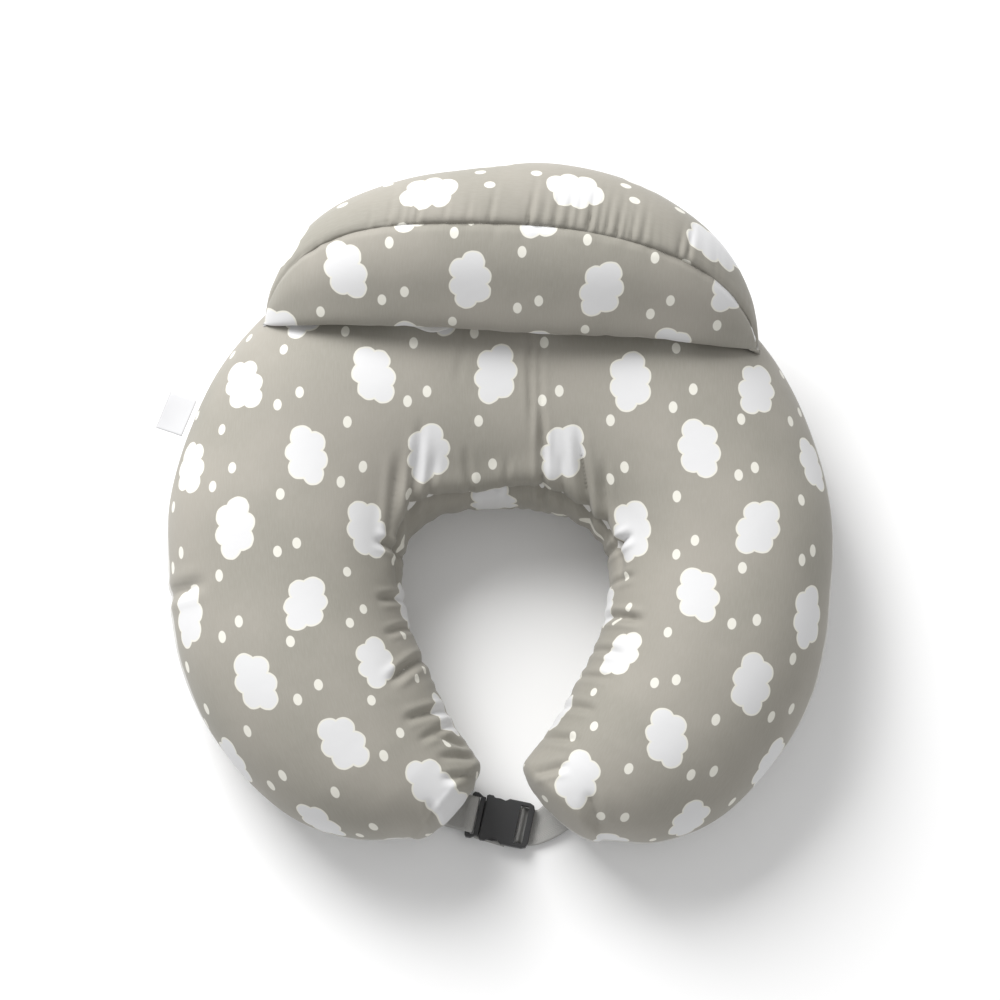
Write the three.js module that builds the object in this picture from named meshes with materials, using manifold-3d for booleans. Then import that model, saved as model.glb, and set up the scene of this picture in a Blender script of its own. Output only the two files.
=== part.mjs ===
// Horseshoe nursing pillow with a sewn-on head cushion, a removable zipped cover and a buckled strap.
// Millimetres, +Z up. The pillow lies on Z = 0 with its open, buckled end towards -Y.
// Until the last line everything is placed about the centre of the pillow's round outer edge.
import * as THREE from 'three';
import { mergeVertices } from 'three/addons/utils/BufferGeometryUtils.js';
import Module from 'manifold-3d';

const wasm = await Module();
wasm.setup();

// ---------------------------------------------------------------- driving dimensions
const OUTER_RADIUS = 274;            // round outer edge of the horseshoe
const WIDEST_SHARE = 0.42;           // height of the widest line, as a share of the section's height
const TOP_POWER = 2.15;              // roundness of the crowned top
const UNDER_POWER = 2.6;             // the underside is flatter
const UNDER_FLATTEN = 1.05;          // presses the middle of the underside flat on Z = 0

const SECTION_STEPS = 32;            // points round one section of the cover
const OUTER_SEAM = 1;                // the cover's outer seam, in section steps above the widest line
const INNER_SEAM = 19;               // the seam round the waist opening, below the widest line
const COVER_STATIONS = 37;           // sections along the cover
const FILL_STATIONS = 25;            // sections along the inner casing and its filling
const FILL_STEPS = 16;
const CAP_ANGLES = [0, 28, 54, 76];  // degrees, sections of the rounded arm tips
const CAP_DEPTH = 14;                // how far a tip reaches past its last section

const COTTON = 1.2;                  // printed cotton with its seam allowance
const PLUSH = 2.2;                   // brushed underside cloth
const CASING_DEPTH = 5.8;            // inner casing below the cover's outer face
const CASING = 0.8;
const FILL_DEPTH = 7.8;

const HEAD_HALF_LENGTH = 202;
const HEAD_DEPTH = 137;
const HEAD_RISE = 57;                // crown above the line from front crease to back seam
const HEAD_SAG = 30;
const HEAD_BACK_LIFT = 22;           // the back seam sits this much above the front crease
const HEAD_YAW = -3.4;               // degrees, the cushion is sewn on slightly askew
const HEAD_SHIFT = 9;
const HEAD_CREASE_Y = 164;
const HEAD_STATIONS = 27;
const HEAD_FRONT_STEPS = 7;
const HEAD_GUSSET_STEPS = 7;
const HEAD_UNDER_STEPS = 10;
const HEAD_FRONT_SEAM = 0.6;         // where the front panel ends, as a share of the depth
const HEAD_FILL_DEPTH = 5;           // filling below the cloth's face
const HEAD_FILL_EDGE = 0.06;
const HEAD_CLEARANCE = 2.0;          // above the main pillow

const ZIP_HEIGHT = 80;               // the zip runs level round the back, over the outer seam
const ZIP_HALF_ANGLE = 38;
const ZIP_RADIUS = OUTER_RADIUS + 0.7;
const ZIP_TAPE = 0.8;
const ZIP_TAPE_WIDTH = 9;
const ZIP_GAP = 0.4;
const COIL_WIDTH = 1.9;
const SLIDER_ANGLE = ZIP_HALF_ANGLE - 3.6;
const SLIDER_HALF_LENGTH = 4.5;
const PULL_PIVOT = 4.2;              // out from the coil's face

const LABEL_ANGLE = -68;
const LABEL_SIZE = [32, 25, 0.8];    // along the seam, out from it, thickness of the folded satin
const LABEL_DROOP = 18;
const LABEL_HEIGHT = 78;

const WEB_WIDTH = 30;
const WEB_THICKNESS = 1.5;
const BUCKLE_CENTRE = [0, -221, 7.8];
const BUCKLE_YAW = -12;              // degrees, right end swung forward
const BUCKLE_HALF_WIDTH = 19;
const BUCKLE_HALF_THICKNESS = 5.5;
const MOUTH = -14.5;                 // where the socket half begins
const END = 26.5;                    // both ends of the closed buckle are this far from its middle
const SLOT_HALF = 15.8;              // half the length of a webbing slot
const CAVITY = [MOUTH - 1, 12.5];
const WINDOW = [-8, 5];
const ARM_ROOT = -17;
const TAIL_THICKNESS = 1.2;          // the strap's loose tail

// ---------------------------------------------------------------- finishes
function finish(color, roughness, metalness = 0) {
  return new THREE.MeshStandardMaterial({ color, roughness, metalness });
}

const printedCotton = () => finish(0xaaa69c, 0.85);
const underCloth = () => finish(0xf1efe9, 0.95);
const innerCotton = () => finish(0xf4f3ef, 0.9);
const fibre = () => finish(0xfafafa, 1.0);
const webbing = () => finish(0xb4b2ae, 0.8);
const blackPlastic = () => finish(0x2b2b2b, 0.45);
const zipTape = () => finish(0xe6e3dc, 0.8);
const zipNylon = () => finish(0xdedbd3, 0.5);
const zipMetal = () => finish(0xb8b8b8, 0.35, 0.9);
const labelSatin = () => finish(0xf3f3f3, 0.6);

const model = new THREE.Group();

function add(name, geometry, material, parent = model) {
  const mesh = new THREE.Mesh(geometry, material);
  mesh.name = name;
  parent.add(mesh);
  return mesh;
}

// ---------------------------------------------------------------- solids from grids of points
function geometryOf(points, triangles) {
  const geometry = new THREE.BufferGeometry();
  const position = new Float32Array(points.flatMap((p) => [p.x, p.y, p.z]));
  geometry.setAttribute('position', new THREE.BufferAttribute(position, 3));
  geometry.setIndex(triangles);
  return geometry;
}

function signedVolume(points, triangles) {
  let volume = 0;
  const normal = new THREE.Vector3();
  for (let i = 0; i < triangles.length; i += 3) {
    const [a, b, c] = [points[triangles[i]], points[triangles[i + 1]], points[triangles[i + 2]]];
    volume += normal.crossVectors(b, c).dot(a);
  }
  return volume;
}

function facingOut(points, triangles) {
  const turned = signedVolume(points, triangles) < 0;
  const faces = turned ? triangles.slice().reverse() : triangles;
  return geometryOf(points, faces).toNonIndexed();
}

// A slab of cloth: an outer and an inner grid of the same size, closed round its four edges.
function slab(outer, inner) {
  const rows = outer.length;
  const columns = outer[0].length;
  const points = [...outer.flat(), ...inner.flat()];
  const at = (layer, row, column) => layer * rows * columns + row * columns + column;
  const triangles = [];
  const quad = (a, b, c, d) => triangles.push(a, b, c, a, c, d);
  for (let row = 0; row + 1 < rows; row += 1) {
    for (let column = 0; column + 1 < columns; column += 1) {
      quad(at(0, row, column), at(0, row + 1, column), at(0, row + 1, column + 1), at(0, row, column + 1));
      quad(at(1, row, column), at(1, row, column + 1), at(1, row + 1, column + 1), at(1, row + 1, column));
    }
    const last = columns - 1;
    quad(at(0, row, 0), at(1, row, 0), at(1, row + 1, 0), at(0, row + 1, 0));
    quad(at(0, row, last), at(0, row + 1, last), at(1, row + 1, last), at(1, row, last));
  }
  for (let column = 0; column + 1 < columns; column += 1) {
    const last = rows - 1;
    quad(at(0, 0, column), at(0, 0, column + 1), at(1, 0, column + 1), at(1, 0, column));
    quad(at(0, last, column), at(1, last, column), at(1, last, column + 1), at(0, last, column + 1));
  }
  return facingOut(points, triangles);
}

// A solid through closed sections, with a flat fan at each end.
function loft(sections) {
  const count = sections[0].length;
  const points = sections.flat();
  const triangles = [];
  for (let s = 0; s + 1 < sections.length; s += 1) {
    for (let i = 0; i < count; i += 1) {
      const j = (i + 1) % count;
      const [a, b] = [s * count, (s + 1) * count];
      triangles.push(a + i, b + i, b + j, a + i, b + j, a + j);
    }
  }
  for (const [start, flip] of [[0, false], [(sections.length - 1) * count, true]]) {
    const middle = new THREE.Vector3();
    for (let i = 0; i < count; i += 1) middle.addScaledVector(points[start + i], 1 / count);
    points.push(middle);
    for (let i = 0; i < count; i += 1) {
      const j = (i + 1) % count;
      const [first, second] = flip ? [start + j, start + i] : [start + i, start + j];
      triangles.push(points.length - 1, first, second);
    }
  }
  return facingOut(points, triangles);
}

// ---------------------------------------------------------------- booleans
function solid(geometry) {
  const bare = (geometry.index ? geometry.toNonIndexed() : geometry).clone();
  bare.deleteAttribute('normal');
  bare.deleteAttribute('uv');
  const merged = mergeVertices(bare, 1e-4);
  return new wasm.Manifold(new wasm.Mesh({
    numProp: 3,
    vertProperties: merged.attributes.position.array,
    triVerts: new Uint32Array(merged.index.array),
  }));
}

function meshOf(body) {
  const { vertProperties, triVerts } = body.getMesh();
  const geometry = new THREE.BufferGeometry();
  geometry.setAttribute('position', new THREE.BufferAttribute(vertProperties, 3));
  geometry.setIndex(new THREE.BufferAttribute(triVerts, 1));
  return geometry.toNonIndexed();
}

function block(x, y, z) {
  const geometry = new THREE.BoxGeometry(x[1] - x[0], y[1] - y[0], z[1] - z[0]);
  geometry.translate((x[0] + x[1]) / 2, (y[0] + y[1]) / 2, (z[0] + z[1]) / 2);
  return solid(geometry);
}

function post(radius, x, y, z, sides = 24) {
  const geometry = new THREE.CylinderGeometry(radius, radius, z[1] - z[0], sides);
  geometry.rotateX(Math.PI / 2);
  geometry.translate(x, y, (z[0] + z[1]) / 2);
  return solid(geometry);
}

// A plate cut from an outline of [x, y] points, with softened top and bottom edges.
function plate(outline, z, bevel = 0) {
  const shape = new THREE.Shape(outline.map(([x, y]) => new THREE.Vector2(x, y)));
  const geometry = new THREE.ExtrudeGeometry(shape, {
    depth: z[1] - z[0] - 2 * bevel,
    bevelEnabled: bevel > 0,
    bevelThickness: bevel,
    bevelSize: bevel,
    bevelOffset: -bevel,
    bevelSegments: 2,
  });
  geometry.translate(0, 0, z[0] + bevel);
  return solid(geometry);
}

// ---------------------------------------------------------------- plan and sections of the main pillow
// Each station pairs a point on the waist opening with one on the outer edge, and gives the
// section's height and how far its underside is off the table.
function arm(side, waist, free) {
  const stations = [];
  for (const [degrees, x, y] of waist) {
    const angle = THREE.MathUtils.degToRad(degrees);
    const outer = [side * OUTER_RADIUS * Math.sin(angle), OUTER_RADIUS * Math.cos(angle)];
    stations.push({ inner: [side * x, y], outer, top: 146 - degrees * 0.07, under: 0 });
  }
  for (const [x, y, outerX, outerY, top, under] of free) {
    stations.push({ inner: [side * x, y], outer: [side * outerX, outerY], top, under });
  }
  return stations;
}

const leftArm = arm(-1, [
  [13, 18, 31], [26, 40, 28], [40, 58, 21], [54, 71, 10], [68, 78, -6], [82, 80, -24], [98, 78, -46],
], [
  [73, -68, 262, -96, 138, 0], [63, -92, 241, -146, 136, 0], [52, -116, 206, -192, 133, 0],
  [42, -138, 163, -226, 127, 0], [30, -158, 116, -240, 117, 6], [18, -176, 72, -239, 104, 17],
]);
const rightArm = arm(1, [
  [13, 20, 31], [26, 42, 28], [40, 62, 21], [54, 77, 10], [68, 86, -6], [82, 89, -24], [98, 87, -46],
], [
  [83, -68, 264, -96, 138, 0], [73, -92, 246, -146, 136, 0], [60, -116, 214, -190, 133, 0],
  [48, -138, 174, -226, 127, 0], [34, -160, 128, -243, 117, 6], [20, -178, 84, -241, 106, 17],
]);
const backStation = { inner: [1, 32], outer: [0, OUTER_RADIUS], top: 146, under: 0 };
const stations = [...leftArm.slice().reverse(), backStation, ...rightArm];

const curveOf = (pick) => new THREE.CatmullRomCurve3(stations.map(pick), false, 'centripetal');
const innerEdge = curveOf((s) => new THREE.Vector3(s.inner[0], s.inner[1], 0));
const outerEdge = curveOf((s) => new THREE.Vector3(s.outer[0], s.outer[1], 0));
const heights = curveOf((s) => new THREE.Vector3(s.top, s.under, 0));

function frameAt(share) {
  const inner = innerEdge.getPoint(share);
  const outer = outerEdge.getPoint(share);
  const height = heights.getPoint(share);
  const across = outer.clone().sub(inner);
  const half = across.length() / 2;
  return {
    centre: inner.clone().add(outer).multiplyScalar(0.5),
    across: across.normalize(),
    half,
    top: height.x,
    under: Math.max(height.y, 0),
  };
}

// The rounded tip continues the last section, shrinking it towards a point ahead of it.
function capFrame(share, degrees) {
  const frame = frameAt(share);
  const ahead = new THREE.Vector3(-frame.across.y, frame.across.x, 0);
  if (ahead.y > 0) ahead.negate();
  const angle = THREE.MathUtils.degToRad(degrees);
  const shrink = Math.cos(angle);
  const middle = frame.under + (frame.top - frame.under) * WIDEST_SHARE;
  return {
    centre: frame.centre.clone().addScaledVector(ahead, CAP_DEPTH * Math.sin(angle)),
    across: frame.across,
    half: frame.half * shrink,
    top: middle + (frame.top - middle) * shrink,
    under: middle - (middle - frame.under) * shrink,
  };
}

function framesAlong(count) {
  const frames = CAP_ANGLES.slice(1).reverse().map((degrees) => capFrame(0, degrees));
  for (let i = 0; i < count; i += 1) frames.push(frameAt(i / (count - 1)));
  frames.push(...CAP_ANGLES.slice(1).map((degrees) => capFrame(1, degrees)));
  return frames;
}

const signedPower = (value, power) => Math.sign(value) * Math.abs(value) ** (2 / power);

// A point of the section at a depth below the cover's outer face. Turn 0 is the outer edge and
// a quarter turn is the crown.
function sectionPoint(frame, turn, depth) {
  const angle = turn * 2 * Math.PI;
  const upper = Math.sin(angle) >= 0;
  const power = upper ? TOP_POWER : UNDER_POWER;
  const half = Math.max(frame.half - depth, 0.6);
  const widest = frame.under + (frame.top - frame.under) * WIDEST_SHARE;
  const rise = upper ? Math.max(frame.top - depth - widest, 0.6) : (widest - frame.under) * UNDER_FLATTEN;
  const height = widest + rise * signedPower(Math.sin(angle), power);
  const floor = frame.under + depth;
  const reach = half * signedPower(Math.cos(angle), power);
  const point = frame.centre.clone().addScaledVector(frame.across, reach);
  point.z = upper ? height : Math.min(Math.max(height, floor), widest);
  return point;
}

function skin(frames, turns, depth) {
  return frames.map((frame) => turns.map((turn) => sectionPoint(frame, turn, depth)));
}

function turnsBetween(first, last, steps, inset = 0) {
  const turns = [];
  for (let i = first; i <= last; i += 1) turns.push(i / steps);
  turns[0] += inset;
  turns[turns.length - 1] -= inset;
  return turns;
}

// ---------------------------------------------------------------- main pillow
const coverFrames = framesAlong(COVER_STATIONS);
const fillFrames = framesAlong(FILL_STATIONS).slice(2, -2);
const SEAM_INSET = 0.0012;

function coverPanels() {
  const upper = turnsBetween(OUTER_SEAM, INNER_SEAM, SECTION_STEPS, SEAM_INSET);
  const lower = turnsBetween(INNER_SEAM, SECTION_STEPS + OUTER_SEAM, SECTION_STEPS, SEAM_INSET);
  const top = slab(skin(coverFrames, upper, 0), skin(coverFrames, upper, COTTON));
  const bottom = slab(skin(coverFrames, lower, 0), skin(coverFrames, lower, PLUSH));
  add('cover_top_panel', top, printedCotton());
  add('cover_bottom_panel', bottom, underCloth());
}

// The inner pillow's casing is two horseshoe panels joined at the widest line.
function innerCasing() {
  const upper = turnsBetween(0, FILL_STEPS / 2, FILL_STEPS, 2 * SEAM_INSET);
  const lower = turnsBetween(FILL_STEPS / 2, FILL_STEPS, FILL_STEPS, 2 * SEAM_INSET);
  for (const [name, turns] of [['inner_casing_top', upper], ['inner_casing_bottom', lower]]) {
    const outside = skin(fillFrames, turns, CASING_DEPTH);
    const inside = skin(fillFrames, turns, CASING_DEPTH + CASING);
    add(name, slab(outside, inside), innerCotton());
  }
}

function mainFill() {
  const turns = turnsBetween(0, FILL_STEPS - 1, FILL_STEPS);
  add('main_fibre_fill', loft(skin(fillFrames, turns, FILL_DEPTH)), fibre());
}

coverPanels();
innerCasing();
mainFill();

// ---------------------------------------------------------------- height of the pillow's crown
const downRay = new THREE.Raycaster();
const bothSides = new THREE.MeshBasicMaterial({ side: THREE.DoubleSide });
const crown = new THREE.Mesh(model.children[0].geometry, bothSides);
crown.geometry.computeBoundingSphere();
crown.updateMatrixWorld(true);

function pillowHeight(x, y) {
  downRay.set(new THREE.Vector3(x, y, 400), new THREE.Vector3(0, 0, -1));
  const hit = downRay.intersectObject(crown)[0];
  return hit ? hit.point.z : -Infinity;
}

// ---------------------------------------------------------------- head cushion
const headYaw = THREE.MathUtils.degToRad(HEAD_YAW);
const headOrigin = new THREE.Vector3(HEAD_SHIFT, HEAD_CREASE_Y, pillowHeight(HEAD_SHIFT, HEAD_CREASE_Y));
const headGroup = new THREE.Group();
headGroup.position.copy(headOrigin);
headGroup.rotation.z = headYaw;
model.add(headGroup);

// The pillow's crown in the head cushion's own frame.
function crownBelow(x, y) {
  const upright = new THREE.Vector3(0, 0, 1);
  const world = new THREE.Vector3(x, y, 0).applyAxisAngle(upright, headYaw).add(headOrigin);
  return pillowHeight(world.x, world.y) - headOrigin.z;
}

function headFrame(share) {
  const x = share * HEAD_HALF_LENGTH;
  const plan = Math.sqrt(1 - share * share);
  return {
    x,
    depth: HEAD_DEPTH * plan,
    rise: HEAD_RISE * (1 - Math.abs(share) ** 2.6) ** 0.55,
    crease: crownBelow(x, 0) + HEAD_CLEARANCE,
    lift: HEAD_BACK_LIFT * plan,
    sag: HEAD_SAG * plan,
  };
}

// Across is 0 at the front crease and 1 at the back edge; inset is the depth below the cloth's face.
function headPoint(frame, across, upper, inset) {
  const bulge = Math.sqrt(Math.max(1 - Math.abs(2 * across - 1) ** 2.2, 0));
  const y = inset + across * (frame.depth - 2 * inset);
  const line = frame.crease + frame.lift * across;
  if (upper) return new THREE.Vector3(frame.x, y, line + (frame.rise - inset) * bulge);
  const hanging = line - frame.sag * bulge;
  const resting = crownBelow(frame.x, y) + HEAD_CLEARANCE;
  const under = Math.min(Math.max(hanging, resting), line);
  return new THREE.Vector3(frame.x, y, under + inset * bulge);
}

function headShares() {
  const shares = [];
  for (let i = 0; i < HEAD_STATIONS; i += 1) {
    const angle = (i / (HEAD_STATIONS - 1) - 0.5) * Math.PI * 0.93;
    shares.push(Math.sin(angle));
  }
  return shares;
}

// Steps are spaced evenly by angle round the section, so that the ends are as finely cut as the crown.
function headSteps(first, last, count) {
  const steps = [];
  for (let i = 0; i <= count; i += 1) {
    const angle = THREE.MathUtils.lerp(Math.acos(1 - 2 * first), Math.acos(1 - 2 * last), i / count);
    steps.push((1 - Math.cos(angle)) / 2);
  }
  return steps;
}

const HEAD_EDGE = 0.004;             // leaves the seam's width between two panels
const headFrames = headShares().map(headFrame);

function headPanel(name, steps, upper, material) {
  const row = (frame, inset) => steps.map((across) => headPoint(frame, across, upper, inset));
  const grid = (inset) => headFrames.map((frame) => row(frame, inset));
  add(name, slab(grid(0), grid(COTTON)), material, headGroup);
}

function headFill() {
  const steps = headSteps(HEAD_FILL_EDGE, 1 - HEAD_FILL_EDGE, 9);
  const sections = headFrames.slice(1, -1).map((frame) => {
    const pairs = steps.map((across) => {
      const [top, bottom] = [true, false].map((upper) => headPoint(frame, across, upper, 0));
      const middle = (top.z + bottom.z) / 2;
      const thick = Math.max((top.z - bottom.z) / 2 - HEAD_FILL_DEPTH, 0.4);
      return [top.clone().setZ(middle + thick), bottom.clone().setZ(middle - thick)];
    });
    return [...pairs.map(([top]) => top), ...pairs.map(([, bottom]) => bottom).reverse()];
  });
  add('head_fibre_fill', loft(sections), fibre(), headGroup);
}

// White twill tape that backs the seam where the cushion is sewn to the pillow.
function headSeamTape() {
  const width = 7;
  const row = (offset, y) => headFrames.slice(2, -2).map((frame) => (
    new THREE.Vector3(frame.x, y, crownBelow(frame.x, y) + offset)));
  const outer = [row(2.0, -width), row(2.0, -1.2)];
  const inner = [row(1.4, -width), row(1.4, -1.2)];
  add('head_seam_tape', slab(outer, inner), innerCotton(), headGroup);
}

const frontSteps = headSteps(HEAD_EDGE, HEAD_FRONT_SEAM - HEAD_EDGE, HEAD_FRONT_STEPS);
const gussetSteps = headSteps(HEAD_FRONT_SEAM + HEAD_EDGE, 1 - HEAD_EDGE, HEAD_GUSSET_STEPS);
const underSteps = headSteps(HEAD_EDGE, 1 - HEAD_EDGE, HEAD_UNDER_STEPS);
headPanel('head_front_panel', frontSteps, true, printedCotton());
headPanel('head_gusset', gussetSteps, true, printedCotton());
headPanel('head_back_panel', underSteps, false, underCloth());
headFill();
headSeamTape();

// ---------------------------------------------------------------- zip round the back
// A bar bent round the pillow's back: radii and heights of its section, and its angles from +Y to +X.
function bentBar(radii, z, degrees, steps) {
  const sections = [];
  for (let i = 0; i <= steps; i += 1) {
    const angle = THREE.MathUtils.degToRad(THREE.MathUtils.lerp(degrees[0], degrees[1], i / steps));
    const corner = ([radius, height]) => (
      new THREE.Vector3(radius * Math.sin(angle), radius * Math.cos(angle), height));
    sections.push([[radii[0], z[0]], [radii[1], z[0]], [radii[1], z[1]], [radii[0], z[1]]].map(corner));
  }
  return loft(sections);
}

const tapeFace = ZIP_RADIUS + ZIP_TAPE;
const coilRadii = [tapeFace + 0.3, tapeFace + 2.1];

function zipRows() {
  const angles = [-ZIP_HALF_ANGLE, ZIP_HALF_ANGLE];
  const steps = 28;
  const half = ZIP_GAP / 2;
  const tape = [ZIP_RADIUS, tapeFace];
  const coil = [half, half + COIL_WIDTH];
  const band = [half, half + ZIP_TAPE_WIDTH];
  const above = ([near, far]) => [ZIP_HEIGHT + near, ZIP_HEIGHT + far];
  const below = ([near, far]) => [ZIP_HEIGHT - far, ZIP_HEIGHT - near];
  const inset = 2.2;
  const coilAngles = [angles[0] + inset, angles[1] - inset];
  add('zip_tape_upper', bentBar(tape, above(band), angles, steps), zipTape());
  add('zip_tape_lower', bentBar(tape, below(band), angles, steps), zipTape());
  add('zip_coil_upper', bentBar(coilRadii, above(coil), coilAngles, steps), zipNylon());
  add('zip_coil_lower', bentBar(coilRadii, below(coil), coilAngles, steps), zipNylon());
  for (const [name, side] of [['zip_stop_closed', 1], ['zip_stop_open', -1]]) {
    const place = [side * (ZIP_HALF_ANGLE - 2.0), side * (ZIP_HALF_ANGLE - 1.3)];
    const clip = bentBar([tapeFace + 0.3, tapeFace + 2.3], [ZIP_HEIGHT - 2.4, ZIP_HEIGHT + 2.4], place, 1);
    add(name, clip, zipMetal());
  }
}

// The slider and its pull are made with +X along the zip, +Y away from the pillow and +Z up, then
// turned to the closed end of the zip.
function sliderFrame() {
  const group = new THREE.Group();
  const angle = THREE.MathUtils.degToRad(SLIDER_ANGLE);
  const radius = coilRadii[1];
  group.position.set(radius * Math.sin(angle), radius * Math.cos(angle), ZIP_HEIGHT);
  group.rotation.z = -angle;
  model.add(group);
  return group;
}

function zipSlider(group) {
  const half = SLIDER_HALF_LENGTH;
  const outline = [
    [-half, -2.6], [-1, -4.2], [half - 1, -4.4], [half, -3.2],
    [half, 3.2], [half - 1, 4.4], [-1, 4.2], [-half, 2.6],
  ];
  const front = plate(outline, [0, 1.3], 0.3);
  const upright = (body) => body.rotate([-90, 0, 0]).mirror([0, 0, 1]);
  let body = upright(front).translate([0, 0.5, 0]);
  for (const side of [-1, 1]) {
    const flange = block([-1, half - 0.6], [-1.6, 1.2], side > 0 ? [2.6, 3.9] : [-3.9, -2.6]);
    body = body.add(flange);
  }
  const bridge = block([-2.6, 2.6], [1.2, 6.4], [-0.7, 0.7]);
  const eye = post(1.5, 0, PULL_PIVOT, [-2, 2], 16);
  body = body.add(bridge.subtract(eye));
  add('zip_slider', meshOf(body), zipMetal(), group);
}

// The pull turns on the slider's eye, and lies flat along the closed zip at rest.
function zipPull(group) {
  const pin = post(0.95, 0, 0, [-1.6, 1.6], 16);
  const cheek = (z) => block([-9, 1.3], [-1.3, 1.3], z);
  const link = block([-9.5, -7.5], [-1.3, 1.3], [-2.1, 2.1]);
  const tab = block([-27, -7.5], [-0.9, 0.9], [-3.4, 3.4]);
  const hole = post(1.4, 0, 0, [-3, 3], 16).rotate([90, 0, 0]).translate([-22.5, 0, 0]);
  let body = pin.add(cheek([1.1, 2.1])).add(cheek([-2.1, -1.1]));
  body = body.add(link).add(tab).subtract(hole).translate([0, PULL_PIVOT, 0]);
  add('zip_pull', meshOf(body), zipMetal(), group);
}

zipRows();
const sliderGroup = sliderFrame();
zipSlider(sliderGroup);
zipPull(sliderGroup);

// ---------------------------------------------------------------- care label in the left outer seam
function careLabel() {
  const group = new THREE.Group();
  const angle = THREE.MathUtils.degToRad(LABEL_ANGLE);
  const radius = OUTER_RADIUS + 1.4;
  group.position.set(radius * Math.sin(angle), radius * Math.cos(angle), LABEL_HEIGHT);
  group.rotation.z = -angle;
  const [long, out, thick] = LABEL_SIZE;
  const folded = block([-long / 2, long / 2], [0, out], [-thick / 2, thick / 2]);
  add('care_label', meshOf(folded.rotate([-LABEL_DROOP, 0, 0])), labelSatin(), group);
  model.add(group);
}

careLabel();

// ---------------------------------------------------------------- strap and side-release buckle
// The buckle's own frame: +X along the strap towards the socket half, +Z up, origin at its middle.
const buckle = new THREE.Group();
buckle.position.set(...BUCKLE_CENTRE);
buckle.rotation.z = THREE.MathUtils.degToRad(BUCKLE_YAW);
model.add(buckle);


function socketHalf() {
  const [z, half] = [BUCKLE_HALF_THICKNESS, BUCKLE_HALF_WIDTH];
  const outline = [
    [MOUTH, -half + 1], [MOUTH + 1.5, -half], [END - 5, -half], [END - 1.4, -half + 1.5], [END, -half + 5],
    [END, half - 5], [END - 1.4, half - 1.5], [END - 5, half], [MOUTH + 1.5, half], [MOUTH, half - 1],
  ];
  let body = plate(outline, [-z, z], 1.2);
  body = body.subtract(block(CAVITY, [-15.8, 15.8], [-3.2, 3.2]));
  for (const side of [-1, 1]) {
    const y = side > 0 ? [14.5, half + 1] : [-half - 1, -14.5];
    body = body.subtract(block(WINDOW, y, [-3.4, 3.4]));
    body = body.subtract(post(9.5, -2.5, side * (half + 6.4), [-z - 1, z + 1], 32));
  }
  body = body.subtract(block([14.5, 21.5], [-SLOT_HALF, SLOT_HALF], [-z - 1, z + 1]));
  body = body.subtract(block([21, END + 1], [-SLOT_HALF, SLOT_HALF], [-z - 1, -1.4]));
  add('buckle_socket', meshOf(body), blackPlastic(), buckle);
}

function plugHalf() {
  const [z, half] = [BUCKLE_HALF_THICKNESS, BUCKLE_HALF_WIDTH];
  const outline = [
    [-END, -half + 2], [-END + 1.4, -half], [-END + 5, -half], [-17.5, -16.6], [MOUTH - 0.5, -16.2],
    [MOUTH - 0.5, 16.2], [-17.5, 16.6], [-END + 5, half], [-END + 1.4, half], [-END, half - 2],
  ];
  let body = plate(outline, [-4.3, 4.3], 1);
  body = body.subtract(block([-22.3, -19.2], [-SLOT_HALF, SLOT_HALF], [-z, z]));
  body = body.subtract(block([-END - 1, -22], [-SLOT_HALF, SLOT_HALF], [-z, -1.2]));
  for (const side of [-1, 1]) {
    const y = side > 0 ? [9.4, 13.6] : [-13.6, -9.4];
    body = body.subtract(block([ARM_ROOT, MOUTH + 1], y, [-3.1, 3.1]));
  }
  body = body.add(block([MOUTH - 1, 10], [-3, 3], [-2.4, 2.4]));
  body = body.add(block([MOUTH - 1, MOUTH + 4], [-7.5, 7.5], [-2.4, 2.4]));
  add('buckle_plug', meshOf(body), blackPlastic(), buckle);
}

// A springy arm of the plug: a slim beam whose head catches in the socket's side window.
function latchArm(name, side) {
  const outline = [
    [ARM_ROOT + 0.4, 9.9], [ARM_ROOT + 0.4, 13.1], [WINDOW[0] + 0.4, 13.6], [WINDOW[0] + 0.4, 17.6],
    [-3.5, 17.9], [1.5, 16.9], [8, 12.6], [8, 10.6], [2, 10.2],
  ];
  const placed = outline.map(([x, y]) => [x, side * y]);
  if (side < 0) placed.reverse();
  add(name, meshOf(plate(placed, [-2.8, 2.8], 0.5)), blackPlastic(), buckle);
}

socketHalf();
plugHalf();
latchArm('latch_arm_rear', 1);
latchArm('latch_arm_front', -1);

// Flat webbing along a route: each point gives x, y, z and the compass turn of its width.
function ribbon(route, width, thickness, steps) {
  const path = new THREE.CatmullRomCurve3(route.map(([x, y, height]) => new THREE.Vector3(x, y, height)));
  const turn = new THREE.CatmullRomCurve3(route.map((point) => new THREE.Vector3(point[3], 0, 0)));
  const sections = [];
  for (let i = 0; i <= steps; i += 1) {
    const share = i / steps;
    const centre = path.getPoint(share);
    const angle = THREE.MathUtils.degToRad(turn.getPoint(share).x);
    const wide = new THREE.Vector3(Math.cos(angle), Math.sin(angle), 0);
    const normal = new THREE.Vector3().crossVectors(path.getTangent(share), wide).normalize();
    const corner = (a, b) => (
      centre.clone().addScaledVector(wide, a * width / 2).addScaledVector(normal, b * thickness / 2));
    sections.push([corner(-1, -1), corner(1, -1), corner(1, 1), corner(-1, 1)]);
  }
  return loft(sections);
}

// Places in the buckle's frame become places on the table.
function fromBuckle(x, y, height, turn) {
  const place = new THREE.Vector3(x, y, height);
  place.applyAxisAngle(new THREE.Vector3(0, 0, 1), buckle.rotation.z).add(buckle.position);
  return [place.x, place.y, place.z, turn + BUCKLE_YAW];
}

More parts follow.
